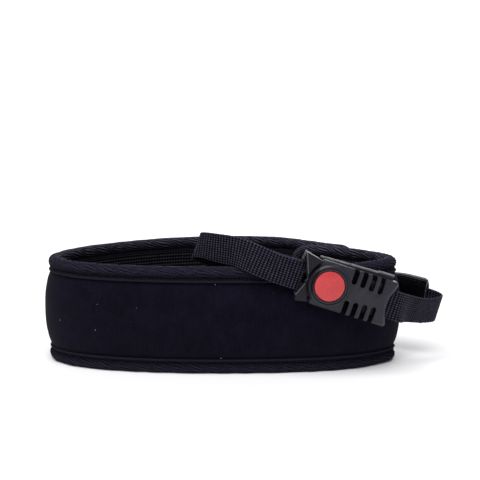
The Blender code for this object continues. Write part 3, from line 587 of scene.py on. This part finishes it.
def swellFoam(piece):
    # cloth pressure fills the foam out between the tapes, then its travel is capped
    before = getPoints(piece)
    held = piece.vertex_groups.new(name="underTape")
    edge = np.minimum(np.minimum(before[:, 0], padLength - before[:, 0]),
                      np.minimum(before[:, 2], padHeight - before[:, 2]))
    fixed = (edge < foam["reach"] + foam["heldPast"]) | (before[:, 1] < 0)
    held.add([int(i) for i in np.nonzero(fixed)[0]], 1.0, "REPLACE")
    onlySelect(piece)
    cloth = piece.modifiers.new("swell", "CLOTH")
    cloth.settings.quality = 5
    cloth.settings.mass = 0.15
    cloth.settings.vertex_group_mass = "underTape"
    cloth.settings.use_pressure = True
    cloth.settings.uniform_pressure_force = foam["pressure"]
    cloth.settings.tension_stiffness = 25
    cloth.settings.compression_stiffness = 25
    cloth.settings.bending_stiffness = 3
    cloth.settings.effector_weights.gravity = 0
    cloth.collision_settings.use_collision = False
    cloth.point_cache.frame_start = 1
    cloth.point_cache.frame_end = foam["frames"]
    for number in range(1, foam["frames"] + 1):
        bpy.context.scene.frame_set(number)
    bpy.ops.object.modifier_apply(modifier=cloth.name)
    bpy.context.scene.frame_set(1)
    moved = getPoints(piece) - before
    reach = np.linalg.norm(moved, axis=1)
    limit = foam["cap"] * np.tanh(reach / foam["cap"])
    moved *= (limit / np.maximum(reach, 1e-9))[:, None]
    moved[:, 0] *= foam["alongShare"]
    setPoints(piece, before + moved)
    print("foam swelled by up to", round(float(limit.max()) * 1000, 2), "mm")


columns = round(padLength / foam["spacing"])
rows = round(padHeight / foam["spacing"]) + 4
padFoam = addGrid("padFoam", columns, rows)
flat = getPoints(padFoam)
along = foam["inset"] + (flat[:, 0] + 0.5) * (padLength - 2 * foam["inset"])
high = foam["inset"] + (flat[:, 1] + 0.5) * (padHeight - 2 * foam["inset"])
setPoints(padFoam, np.stack((along, np.zeros(len(flat)), keepInCorners(along, high, foam["inset"])), axis=1))
thicken(padFoam, 0.002)
applyModifiers(padFoam)
points = getPoints(padFoam)
front = points[:, 1] > 0
points[:, 1] = np.where(front, foamShape(points[:, 0], points[:, 2]), -foam["backHalf"])
setPoints(padFoam, points)
cleanUp(padFoam)
swellFoam(padFoam)
finer = padFoam.modifiers.new("smoother", "SUBSURF")
finer.levels = 1
finer.render_levels = 1
applyModifiers(padFoam)
storeUv(padFoam, getPoints(padFoam)[:, [0, 2]])
layAlong(padFoam, padRoute, padBulge)
dress(padFoam, foamLook, ["pad_core"])
print("foam pad made")


# grip lining

lining = {"inset": 0.0098, "face": -0.0033, "back": -0.0024, "spacing": 0.0025, "rows": 20}
padLining = addGrid("padLining", round(padLength / lining["spacing"]), lining["rows"])
flat = getPoints(padLining)
along = lining["inset"] + (flat[:, 0] + 0.5) * (padLength - 2 * lining["inset"])
high = lining["inset"] + (flat[:, 1] + 0.5) * (padHeight - 2 * lining["inset"])
high = keepInCorners(along, high, lining["inset"])
middle = (lining["face"] + lining["back"]) / 2
setPoints(padLining, np.stack((along, np.full(len(flat), middle), high), axis=1))
thicken(padLining, lining["back"] - lining["face"])
applyModifiers(padLining)
storeUv(padLining, getPoints(padLining)[:, [0, 2]])
layAlong(padLining, padRoute, padBulge)
cleanUp(padLining)
dress(padLining, liningLook, ["pad_lining"])
print("lining made")


# folded tape round the pad's edge

tape = {
    "spacing": 0.0011, "gap": 0.00042, "wave": 0.00030, "groove": 0.0076,
    "strand": 0.0044, "lean": 2.4, "rise": 0.00022, "wander": 0.0011,
    "seamHalf": 0.0006, "flatEnd": 0.010, "flatFade": 0.02, "riseTo": 0.0062, "riseFade": 0.0010,
    "waveLong": 0.019, "waveDrift": 0.061, "waveTo": 0.0072, "hemFrom": 0.0095, "hemFade": 0.0003,
    "shadeFrom": 0.0022, "shadeOver": 0.0050, "shade": 0.75, "plain": 0.85, "innerTo": 0.0070,
    # reach in from the pad's edge, and how far out of the pad's middle, over one face
    "face": ((0.0000, 0.0000), (0.0001, 0.0012), (0.0004, 0.0023), (0.0009, 0.0032), (0.0017, 0.0039),
             (0.0028, 0.0042), (0.0039, 0.0042), (0.0050, 0.0038), (0.0060, 0.0032), (0.0068, 0.0026),
             (0.0073, 0.0021), (0.0078, 0.0021), (0.0081, 0.0027), (0.0086, 0.0032), (0.0092, 0.0032),
             (0.0097, 0.0027), (0.0099, 0.0020)),
    "under": ((0.0050, 0.0020), (0.0012, 0.0019)),
}


def walkEdge(distance):
    # points and inward directions round the flat pad's rounded outline
    radius, length, height = padRoll["corner"], padLength, padHeight
    straight = (length - 2 * radius, height - 2 * radius)
    quarter = math.pi * radius / 2
    spans = (straight[0], quarter, straight[1], quarter) * 2
    ends = np.cumsum(spans)
    corners = ((length - radius, radius), (length - radius, height - radius),
               (radius, height - radius), (radius, radius))
    starts = ((radius, 0.0), (length, radius), (length - radius, height), (0.0, height - radius))
    place = np.zeros((len(distance), 2))
    inward = np.zeros((len(distance), 2))
    span = np.minimum(np.searchsorted(ends, distance, side="right"), 7)
    local = distance - (ends[span] - np.array(spans)[span])
    for i in range(8):
        here = span == i
        turn = math.pi / 2 * (i // 2)
        if i % 2 == 0:
            ahead = np.array((math.cos(turn), math.sin(turn)))
            place[here] = np.array(starts[i // 2]) + local[here][:, None] * ahead
            inward[here] = (-ahead[1], ahead[0])
        else:
            angle = turn - math.pi / 2 + local[here] / radius
            out = np.stack((np.cos(angle), np.sin(angle)), axis=1)
            place[here] = np.array(corners[i // 2]) + radius * out
            inward[here] = -out
    return place, inward, ends[-1]


def runAlong(points):
    return np.concatenate(([0.0], np.cumsum(np.linalg.norm(np.diff(points, axis=0), axis=1))))


def makeSection():
    # the tape's cross-section, fine where it is seen, with the way out of its surface at each point
    face = np.array(tape["face"])
    seen = np.vstack((face[::-1], face[1:] * (1, -1)))
    run = runAlong(seen)
    fineRun = np.linspace(0, run[-1], round(run[-1] / tape["gap"]) + 1)
    fine = np.stack([np.interp(fineRun, run, column) for column in seen.T], axis=1)
    for _ in range(2):
        fine[1:-1] = fine[:-2] * 0.25 + fine[1:-1] * 0.5 + fine[2:] * 0.25
    ahead = unit(np.gradient(fine, axis=0))
    under = np.array(tape["under"])
    points = np.vstack((fine, under * (1, -1), under[::-1], fine[:1]))
    outward = np.zeros(points.shape)
    outward[:len(fine)] = np.stack((ahead[:, 1], -ahead[:, 0]), axis=1)
    return points, outward


def strandShare(around, girth):
    # the tape's slanting strands: 1 on a strand and 0 between two, wandering a little
    wander = (np.sin(around * 97 + girth * 210) + np.sin(around * 233 - girth * 90 + 1.7)
              + np.sin(around * 41 + 0.6) + 0.8 * np.sin(around * 531 + girth * 400 + 2.1))
    phase = around + tape["lean"] * girth + tape["wander"] * wander
    return 0.5 + 0.5 * np.sin(2 * math.pi * phase / tape["strand"])


total = walkEdge(np.array([0.0]))[2]
section, outward = makeSection()
sectionRun = runAlong(section)
edgeTape = addGrid("edgeTape", round(total / tape["spacing"]), len(section) - 1)
flat = getPoints(edgeTape)
index = np.rint((flat[:, 1] + 0.5) * (len(section) - 1)).astype(int)
around = (flat[:, 0] + 0.5) * total
place, inward, total = walkEdge(np.minimum(around, total - 1e-9))
reach, out = section[index].T
bare = np.abs(outward[index]).sum(axis=1) > 0
strand = strandShare(around, sectionRun[index])
nearEnd = np.minimum(place[:, 0], padLength - place[:, 0])
loose = ease((nearEnd - tape["flatEnd"]) / tape["flatFade"]) * bare
relief = tape["rise"] * (2 * strand - 1) * loose * (1 - ease((reach - tape["riseTo"]) / tape["riseFade"]))
drift = 1.3 * np.sin(2 * math.pi * around / tape["waveDrift"])
wave = tape["wave"] * np.sin(2 * math.pi * around / tape["waveLong"] + drift)
wave *= loose * (reach < tape["waveTo"])
reach = reach + outward[index, 0] * relief
out = out + outward[index, 1] * relief + np.sign(out) * wave
along, high = (place + inward * reach[:, None]).T
setPoints(edgeTape, np.stack((along, out, high), axis=1))
storeUv(edgeTape, np.stack((around, sectionRun[index]), axis=1))
# painted shade on the tape: darker along the stitch groove, fully dark at the inner edge against the pad, and
# growing darker across the face towards the groove
creaseShading = np.exp(-((reach - tape["groove"]) / tape["seamHalf"]) ** 2)
creaseShading += np.clip((reach - tape["hemFrom"]) / tape["hemFade"], 0, 1)
creaseShading += tape["shade"] * ease((reach - tape["shadeFrom"]) / tape["shadeOver"]) * (reach < tape["groove"])
creaseShading = np.minimum(creaseShading, 1.0)
plain = tape["plain"] * ease((reach - tape["groove"]) / tape["seamHalf"])
inner = bare & (out < 0) & (reach < tape["innerTo"])
for key, shares in (("creaseShading", creaseShading), ("plain", plain), ("inner", inner), ("strand", strand)):
    layer = edgeTape.data.attributes.new(key, "FLOAT", "POINT")
    layer.data.foreach_set("value", shares.astype(np.float32))
cleanUp(edgeTape)
layAlong(edgeTape, padRoute, padBulge)
dress(edgeTape, tapeLook, ["edge_binding"])
print("edge tape made")


# stitches

def sewRow(name, middles, turns, size):
    # one stitch is modelled and copied to every place, flat
    bpy.ops.object.select_all(action="DESELECT")
    bpy.ops.mesh.primitive_uv_sphere_add(segments=6, ring_count=5, radius=0.5, calc_uvs=False)
    piece = bpy.context.object
    piece.name = name
    piece.data.name = name
    one = getPoints(piece)[:, [2, 0, 1]] * np.array(size)
    faces = [list(face.vertices) for face in piece.data.polygons]
    allPoints, allFaces = [], []
    for i, (middle, turn) in enumerate(zip(middles, turns)):
        c, s = math.cos(turn), math.sin(turn)
        spun = np.stack((one[:, 0] * c - one[:, 2] * s, one[:, 1], one[:, 0] * s + one[:, 2] * c), axis=1)
        allPoints.append(spun + np.array(middle))
        allFaces += [[v + i * len(one) for v in face] for face in faces]
    piece.data.clear_geometry()
    piece.data.from_pydata(np.vstack(allPoints).tolist(), [], allFaces)
    piece.data.update()
    return piece


seam = {"reach": 0.0076, "pitch": 0.0026, "length": 0.0021, "width": 0.00045, "sunk": 0.00245, "slant": 0.12}
count = int(total / seam["pitch"])
place, inward, total = walkEdge((np.arange(count) + 0.5) * total / count)
middles, turns = [], []
for (px, pz), (nx, nz) in zip(place, inward):
    for face in (1, -1):
        middles.append((px + nx * seam["reach"], face * seam["sunk"], pz + nz * seam["reach"]))
        turns.append(math.atan2(-nx, nz) + face * seam["slant"])
tapeStitches = sewRow("tapeStitches", middles, turns, (seam["length"], seam["width"], seam["width"]))
layAlong(tapeStitches, padRoute, padBulge)
cleanUp(tapeStitches, 1e-7)
dress(tapeStitches, threadLook)
print("tape stitches made")


# strap routes

strapRoutes = {
    "onPad": 0.012, "width": 0.0190, "thickness": 0.0016, "wrap": 0.0023, "lead": 0.007, "stitched": 0.022,
    "slack": 0.0003, "start": 0.016,
    # places, each with how far the strap leans over there, in degrees
    "toEar": ((0.03370, 0.02374, 0.03850, 4.0), (0.02076, 0.01518, 0.04599, 8.0),
              (0.00870, 0.00221, 0.05698, 12.0), (-0.00234, -0.01281, 0.06802, 18.0),
              (-0.01183, -0.02429, 0.07580, 20.0),
              (-0.01652, -0.03229, 0.07890, 22.0), (-0.01283, -0.03809, 0.08016, 16.0),
              (-0.00435, -0.04499, 0.08048, 8.0), (0.00670, -0.05332, 0.08038, 6.0),
              (0.01574, -0.05984, 0.07866, 10.0), (0.03270, -0.06458, 0.07201, 0.0)),
    "toShell": ((0.09988, 0.01518, 0.03535, 0.0), (0.11160, 0.01242, 0.03605, 0.0),
                (0.12220, 0.00635, 0.03710, 0.0), (0.13225, -0.00248, 0.03696, 0.0),
                (0.14214, -0.01049, 0.03535, 6.0),
                (0.14468, -0.01739, 0.03430, 16.0), (0.13871, -0.02374, 0.03414, 20.0),
                (0.12329, -0.03550, 0.03761, 20.0)),
    "buckleAxis": (0.938471, 0.115230, -0.325568),
    "earBar": (0.04992, -0.06415, 0.06620), "shellBar": (0.10529, -0.05736, 0.04699),
}


def strapRoute(atStart, stations, bar, towardBack):
    # from on the pad's end, through the stations, round the bar and back along its stitched end
    sign = -1.0 if atStart else 1.0
    edge = 0.0 if atStart else padLength
    onPad = strapRoutes["onPad"]
    at = edge - sign * onPad * (1 - np.linspace(0, 1, 13))
    first = readRoute(padRoute, at, "place")
    first[:, 2] = padHeight / 2
    first = np.column_stack((first, np.zeros(13)))
    start = first[-1, :3] - first[-2, :3]
    end = np.array(strapRoutes["buckleAxis"]) * -sign
    bar = np.array(bar)
    rows = [first[-1], *stations, (*(bar - end * strapRoutes["lead"]), 0.0), (*bar, 0.0)]
    line = np.vstack((first[:-1], smoothLine(rows, start / np.linalg.norm(start), end)))
    main = makeRoute(line, line[:, 3])
    run, across, side = end, main["across"][-1], main["side"][-1]
    back = side * towardBack
    radius = strapRoutes["wrap"]
    centre = main["place"][-1] + back * radius
    place, runs, widths = [main["place"]], [main["run"]], [main["across"]]
    for angle in np.linspace(0, math.pi, 16)[1:]:
        place.append([centre - back * radius * math.cos(angle) + run * radius * math.sin(angle)])
        runs.append([back * math.sin(angle) + run * math.cos(angle)])
        widths.append([across])
    close = strapRoutes["thickness"] + strapRoutes["slack"]
    steps = np.linspace(0.0005, strapRoutes["stitched"], 24)
    apart = close + (2 * radius - close) * (1 - ease(steps / (4 * radius)))
    backAt = main["length"] - steps
    sides = unit(readRoute(main, backAt, "side"))
    place.append(readRoute(main, backAt, "place") + sides * (towardBack * apart)[:, None])
    runs.append(-unit(readRoute(main, backAt, "run")))
    widths.append(unit(readRoute(main, backAt, "across")))
    whole = closeRoute(np.vstack(place), np.vstack(runs), np.vstack(widths))
    whole["main"] = main["length"]
    return whole


earRoute = strapRoute(True, strapRoutes["toEar"], strapRoutes["earBar"], 1)
shellRoute = strapRoute(False, strapRoutes["toShell"], strapRoutes["shellBar"], -1)


# webbing

webbing = {"rib": 0.0022, "yarn": 0.00148, "spacing": 0.00036, "rows": 60, "core": 0.00042, "relief": 0.00042,
           "edge": 0.0008, "edgeShare": 0.75, "slant": 0.30, "frill": 0.00012, "foldAt": 0.110,
           "foldHighlightAt": 0.1143, "foldHighlightLean": 0.0021, "foldHighlightHalf": 0.0009, "pinch": 0.26,
           "pinched": (0.108, 0.006, 0.116, 0.026), "worn": (0.076, 0.006, 0.0985, 0.005), "wear": 0.90}


def makeWebbing(name, route, node, smoothed, inShade, pinched):
    start, end = strapRoutes["start"], route["length"]
    width = strapRoutes["width"]
    piece = addGrid(name, round((end - start) / webbing["spacing"]), webbing["rows"])
    flat = getPoints(piece)
    along = start + (flat[:, 0] + 0.5) * (end - start)
    across = flat[:, 1] * width
    setPoints(piece, np.stack((along, np.zeros(len(flat)), across), axis=1))
    thicken(piece, 0.001)
    applyModifiers(piece)
    points = getPoints(piece)
    along, across = points[:, 0], points[:, 2]
    face = np.sign(points[:, 1])
    rib = np.floor(along / webbing["rib"])
    hump = np.abs(np.sin(math.pi * along / webbing["rib"])) ** 0.8
    lean = (along / webbing["rib"] - rib - 0.5) * webbing["slant"]
    yarn = np.abs(np.cos(math.pi * (across / webbing["yarn"] + lean)))
    # the rib pattern shapes the webbing and also sets its painted light and shade in the material
    weaveShading = hump * (0.12 + 0.88 * yarn)
    weaveShading += (0.55 - weaveShading) * smoothed(along)
    edge = np.clip((width / 2 - np.abs(across)) / webbing["edge"], 0, 1)
    thickness = (webbing["core"] + webbing["relief"] * weaveShading) * (0.45 + 0.55 * np.sqrt(edge))
    weaveShading = np.where(edge < 0.6, webbing["edgeShare"] * (0.5 + 0.5 * hump), weaveShading)
    # painted shade: the webbing is darkened where it leads up into the fold
    weaveShading *= 1 - 0.8 * inShade(along)
    drawn = pinched(along)
    # painted highlight: a bright line along the fold's edge, where the ear strap is drawn in
    foldHighlight = webbing["foldHighlightAt"] + webbing["foldHighlightLean"] * across / (width / 2)
    weaveShading = np.maximum(weaveShading, np.exp(-((along - foldHighlight) / webbing["foldHighlightHalf"]) ** 2) * (drawn > 0))
    points[:, 1] = face * thickness
    points[:, 2] += np.sign(across) * webbing["frill"] * (hump - 0.5) * (edge < 0.3)
    points[:, 2] *= np.where(across < 0, 1 - drawn, 1.0)
    setPoints(piece, points)
    storeUv(piece, points[:, [0, 2]])
    layer = piece.data.attributes.new("weaveShading", "FLOAT", "POINT")
    layer.data.foreach_set("value", weaveShading.astype(np.float32))
    layAlong(piece, route)
    cleanUp(piece, None)
    return dress(piece, webbingLook, [node])


def between(along, stretch):
    # how far in from the start and out at the end of a stretch of the strap
    start, rise, end, fall = stretch
    return ease((along - start) / rise), 1 - ease((along - end) / fall)


def wornFold(along):
    # the webbing's ribs are flattened where it is folded back beside the pad's end
    into, outOf = between(along, webbing["worn"])
    return webbing["wear"] * into * outOf


def pinchedFold(along):
    # the ear strap's lower half is drawn in where it folds over the rim
    into, outOf = between(along, webbing["pinched"])
    return webbing["pinch"] * into * outOf


def insideFold(along):
    # the lead up to the fold lies in the shade of the roll
    return 1 - ease((along - webbing["foldAt"]) / 0.003)


makeWebbing("webbingToEars", earRoute, "strap_a", np.zeros_like, insideFold, pinchedFold)
makeWebbing("webbingToShell", shellRoute, "strap_b", wornFold, np.zeros_like, np.zeros_like)
print("webbing made")


# end tabs

tab = {"onPad": 0.012, "rootHalf": 0.01775, "tipHalf": 0.01550, "leaf": 0.0015, "taper": 0.012,
       "padFace": 0.0033, "webFace": 0.00115, "seamFace": 0.0002, "seamIn": 0.0026, "spacing": 0.0012,
       "rows": 26, "sewnFrom": 0.0102, "sewnOver": 0.0030, "cornerCut": 0.0025, "bevel": 0.00035,
       "pitch": 0.0030, "firstStitch": 0.0028, "lastStitch": 0.004, "rootStitches": 9, "rootPitch": 0.0026,
       "rootSeams": (0.0026, 0.0108), "stitch": (0.0024, 0.00040, 0.00050),
       "lengths": {"end_tab_a": 0.050, "end_tab_b": 0.053}}


def tabInside(along, across):
    # how far from the middle a leaf's inner face is: round the pad's end, the webbing, or sewn shut
    past = ease((along - tab["onPad"]) / tab["taper"])
    flatFace = tab["padFace"] + (tab["webFace"] - tab["padFace"]) * past
    pinched = ease((np.abs(across) - tab["sewnFrom"]) / tab["sewnOver"]) * past
    return flatFace + (tab["seamFace"] - flatFace) * pinched


def makeTab(name, route, node):
    total = tab["onPad"] + tab["lengths"][node]
    middles, turns = [], []
    for face, label in ((1, "Outer"), (-1, "Inner")):
        leaf = addGrid(name + label, round(total / tab["spacing"]), tab["rows"])
        flat = getPoints(leaf)
        along = (flat[:, 0] + 0.5) * total
        half = tab["rootHalf"] + (tab["tipHalf"] - tab["rootHalf"]) * along / total
        across = flat[:, 1] * 2 * half
        cornerCut = tab["cornerCut"] * (np.abs(flat[:, 1]) * 2) ** 12
        along = np.clip(along, cornerCut, total - cornerCut * (face > 0))
        setPoints(leaf, np.stack((along, np.zeros(len(flat)), across), axis=1))
        thicken(leaf, 0.001)
        applyModifiers(leaf)
        points = getPoints(leaf)
        inside = tabInside(points[:, 0], points[:, 2])
        outer = points[:, 1] * face > 0
        points[:, 1] = face * (inside + np.where(outer, tab["leaf"], 0.0))
        setPoints(leaf, points)
        cleanUp(leaf)
        leaf.data.materials.append(tabLook)
        leaf.data.materials.append(tabEdgeLook)
        for side in leaf.data.polygons:
            side.material_index = int(abs(side.normal.y) < 0.4)
        soften(leaf, tab["bevel"], 50)
        applyModifiers(leaf)
        storeUv(leaf, getPoints(leaf)[:, [0, 2]])
        layAlong(leaf, route)
        dress(leaf, tabLook, [node], keepLook=True)
        onlySelect(leaf)
        bpy.ops.object.shade_smooth_by_angle(angle=math.radians(40))
        for i in range(int((total - tab["lastStitch"]) / tab["pitch"])):
            at = tab["firstStitch"] + i * tab["pitch"]
            half = tab["rootHalf"] + (tab["tipHalf"] - tab["rootHalf"]) * at / total - tab["seamIn"]
            for way in (1, -1):
                inside = float(tabInside(np.array([at]), np.array([half]))[0])
                middles.append((at, face * (inside + tab["leaf"]), way * half))
                turns.append(0.0)
        for i in range(tab["rootStitches"]):
            across = (i - tab["rootStitches"] // 2) * tab["rootPitch"]
            for at in tab["rootSeams"]:
                inside = float(tabInside(np.array([at]), np.array([abs(across)]))[0])
                middles.append((at, face * (inside + tab["leaf"]), across))
                turns.append(math.pi / 2)
    stitches = sewRow(name + "Stitches", middles, turns, tab["stitch"])
    layAlong(stitches, route)
    cleanUp(stitches, 1e-7)
    dress(stitches, threadLook)


makeTab("innerTab", earRoute, "end_tab_a")
makeTab("outerTab", shellRoute, "end_tab_b")
print("end tabs made")


# buckle

buckle = {"edge": 0.00035, "flatAngle": 3.0, "boss": (0.05437, -0.06367, 0.05992),
          "along": (0.938471, 0.115230, -0.325568), "up": (0.323141, 0.039677, 0.945519),
          "out": (0.121869, -0.992546, 0.0), "slots": (0.012, 0.034), "slotDeep": -0.0021,
          "earNarrowed": 0.0023, "earTip": 0.0009, "plugHidden": -0.004,
          "slotFirst": 0.0146, "slotPitch": 0.0061, "slotHalf": 0.0016, "slotWiden": 1.15,
          "slotRows": (0.0038, 0.0139), "wallFrom": 0.004, "slotFloor": -0.0108, "earFrom": -0.019,
          "lowerEar": -0.0098, "upperEar": 0.014, "bevelAngle": 28, "smoothAngle": 35, "discEdge": 0.0002}
buckleAxes = np.array((buckle["along"], buckle["up"], buckle["out"]))


def toBuckle(points):
    return (points - np.array(buckle["boss"])) @ buckleAxes.T


def fromBuckle(points):
    return points @ buckleAxes + np.array(buckle["boss"])


def openSlots(piece):
    # the slots in the face are widened a little, and their walls and floors are painted black, as shade in a
    # deep hole
    points = toBuckle(getPoints(piece))
    number = np.clip(np.rint((points[:, 0] - buckle["slotFirst"]) / buckle["slotPitch"]), 0, 3)
    middle = buckle["slotFirst"] + number * buckle["slotPitch"]
    walls = (np.abs(points[:, 0] - middle) < buckle["slotHalf"]) & (np.abs(points[:, 1]) > buckle["wallFrom"])
    points[:, 0] = np.where(walls, middle + (points[:, 0] - middle) * buckle["slotWiden"], points[:, 0])
    setPoints(piece, fromBuckle(points))
    for face in piece.data.polygons:
        x, y, z = toBuckle(np.array(face.center))
        slotted = (buckle["slots"][0] < x < buckle["slots"][1]
                   and buckle["slotRows"][0] < abs(y) < buckle["slotRows"][1])
        face.material_index = int(slotted and buckle["slotFloor"] < z < buckle["slotDeep"])


def reshapePlug(piece):
    # the lower ear is narrower than the upper one, whose tip reaches further up
    points = toBuckle(getPoints(piece))
    onEar = points[:, 0] < buckle["earFrom"]
    lower = onEar & (points[:, 1] < buckle["lowerEar"])
    tip = onEar & (points[:, 1] > buckle["upperEar"])
    points[:, 0] += np.where(lower, buckle["earNarrowed"], 0.0)
    points[:, 1] += np.where(tip, buckle["earTip"], 0.0)
    setPoints(piece, fromBuckle(points))
    # painted shade: the plug's faces inside the shell take the slots' black
    for face in piece.data.polygons:
        face.material_index = int(toBuckle(np.array(face.center))[0] > buckle["plugHidden"])


def softenedCopy(node, name, looks, width, rework):
    # the node's own shape, its flat faces joined up and its edges rounded
    piece = nodes[node].copy()
    piece.data = nodes[node].data.copy()
    for key in list(piece.keys()):
        del piece[key]
    piece.parent = None
    piece.name = name
    piece.data.name = name
    bpy.context.scene.collection.objects.link(piece)
    cleanUp(piece, 0.000005, buckle["flatAngle"])
    piece.data.materials.clear()
    for look in looks:
        piece.data.materials.append(look)
    rework(piece)
    soften(piece, width, buckle["bevelAngle"])
    applyModifiers(piece)
    storeUv(piece, toBuckle(getPoints(piece))[:, :2])
    dress(piece, looks[0], [node], keepLook=True)
    onlySelect(piece)
    bpy.ops.object.shade_smooth_by_angle(angle=math.radians(buckle["smoothAngle"]))
    return piece


softenedCopy("buckle_female", "buckleShell", [plasticLook, slotLook], buckle["edge"], openSlots)
softenedCopy("buckle_male", "bucklePlug", [plasticLook, slotLook], buckle["edge"], reshapePlug)
softenedCopy("emblem_disc", "bossDisc", [discLook], buckle["discEdge"], getPoints)

rail = {"line": ((-0.0100, 0.0151), (0.0080, 0.0158), (0.0290, 0.0166), (0.0300, 0.0172), (0.0405, 0.0174)),
        "height": 0.0011, "foot": 0.0140, "deep": (-0.0098, -0.0086), "bevel": 0.0004}


def makeRail():
    # the rear half's upstanding rail along the top, with a step near its end; its upper faces carry a painted
    # highlight
    piece = addGrid("buckleRail", len(rail["line"]) - 1, 2)
    flat = getPoints(piece)
    column = np.rint((flat[:, 0] + 0.5) * (len(rail["line"]) - 1)).astype(int)
    x, y = np.array(rail["line"])[column].T
    high = np.select([flat[:, 1] > 0.2, flat[:, 1] > -0.2], [y + rail["height"], y], rail["foot"])
    setPoints(piece, np.stack((x, high, np.full(len(x), sum(rail["deep"]) / 2)), axis=1))
    thicken(piece, rail["deep"][1] - rail["deep"][0])
    soften(piece, rail["bevel"])
    applyModifiers(piece)
    for look in (plasticLook, railHighlightLook):
        piece.data.materials.append(look)
    for face in piece.data.polygons:
        line = np.interp(face.center.x, *np.array(rail["line"]).T)
        face.material_index = int(face.center.y > line)
    setPoints(piece, fromBuckle(getPoints(piece)))
    cleanUp(piece)
    storeUv(piece, toBuckle(getPoints(piece))[:, :2])
    dress(piece, plasticLook, keepLook=True)
    onlySelect(piece)
    bpy.ops.object.shade_smooth_by_angle(angle=math.radians(buckle["smoothAngle"]))


makeRail()
print("buckle made")


# floor, light and camera

def addFloor():
    bpy.ops.object.select_all(action="DESELECT")
    bpy.ops.mesh.primitive_plane_add(size=60.0)
    floor = bpy.context.object
    floor.name = "studioFloor"
    made = startMaterial("paleFloor", studio["floor"], 0.9, 0.05)
    floor.data.materials.append(made)
    floor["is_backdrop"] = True


def addPanel(name, place, target, size, power):
    bpy.ops.object.select_all(action="DESELECT")
    bpy.ops.object.light_add(type="AREA", location=place)
    lamp = bpy.context.object
    lamp.name = name
    lamp.data.shape = "RECTANGLE"
    lamp.data.size, lamp.data.size_y = size
    lamp.data.energy = power
    lamp.rotation_euler = (Vector(target) - Vector(place)).to_track_quat("-Z", "Y").to_euler()


def addSun(name, place, size, strength):
    bpy.ops.object.select_all(action="DESELECT")
    bpy.ops.object.light_add(type="SUN", location=place)
    lamp = bpy.context.object
    lamp.name = name
    lamp.data.angle = math.radians(size)
    lamp.data.energy = strength
    lamp.rotation_euler = (-Vector(place)).to_track_quat("-Z", "Y").to_euler()


studio = {"world": 0.30, "sun": 3.0, "sunSize": 55.0, "sunPlace": (-0.16, -0.42, 1.0), "rear": 9.0,
          "rearPlace": (0.1, 1.3, 0.55), "rearTarget": (0.0, 0.0, 0.06), "rearSize": (1.4, 0.6),
          "floor": (0.93, 0.93, 0.945)}
addFloor()
addSun("overheadSoftbox", studio["sunPlace"], studio["sunSize"], studio["sun"])
addPanel("rearSoftbox", studio["rearPlace"], studio["rearTarget"], studio["rearSize"], studio["rear"])
world = bpy.data.worlds.new("studioWorld")
bpy.context.scene.world = world
world.use_nodes = True
world.node_tree.nodes["Background"].inputs[0].default_value = (1.0, 1.0, 1.0, 1.0)
world.node_tree.nodes["Background"].inputs[1].default_value = studio["world"]

cameraSet = {"place": (-0.00267, -1.00774, 0.265), "down": 10.5, "lens": 113.925, "sensor": 36.0}
bpy.ops.object.select_all(action="DESELECT")
pitch = math.radians(90 - cameraSet["down"])
bpy.ops.object.camera_add(location=cameraSet["place"], rotation=(pitch, 0.0, 0.0))
camera = bpy.context.object
camera.name = "photoCamera"
camera.data.lens = cameraSet["lens"]
camera.data.sensor_width = cameraSet["sensor"]
bpy.context.scene.camera = camera
print("studio made")

low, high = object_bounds()
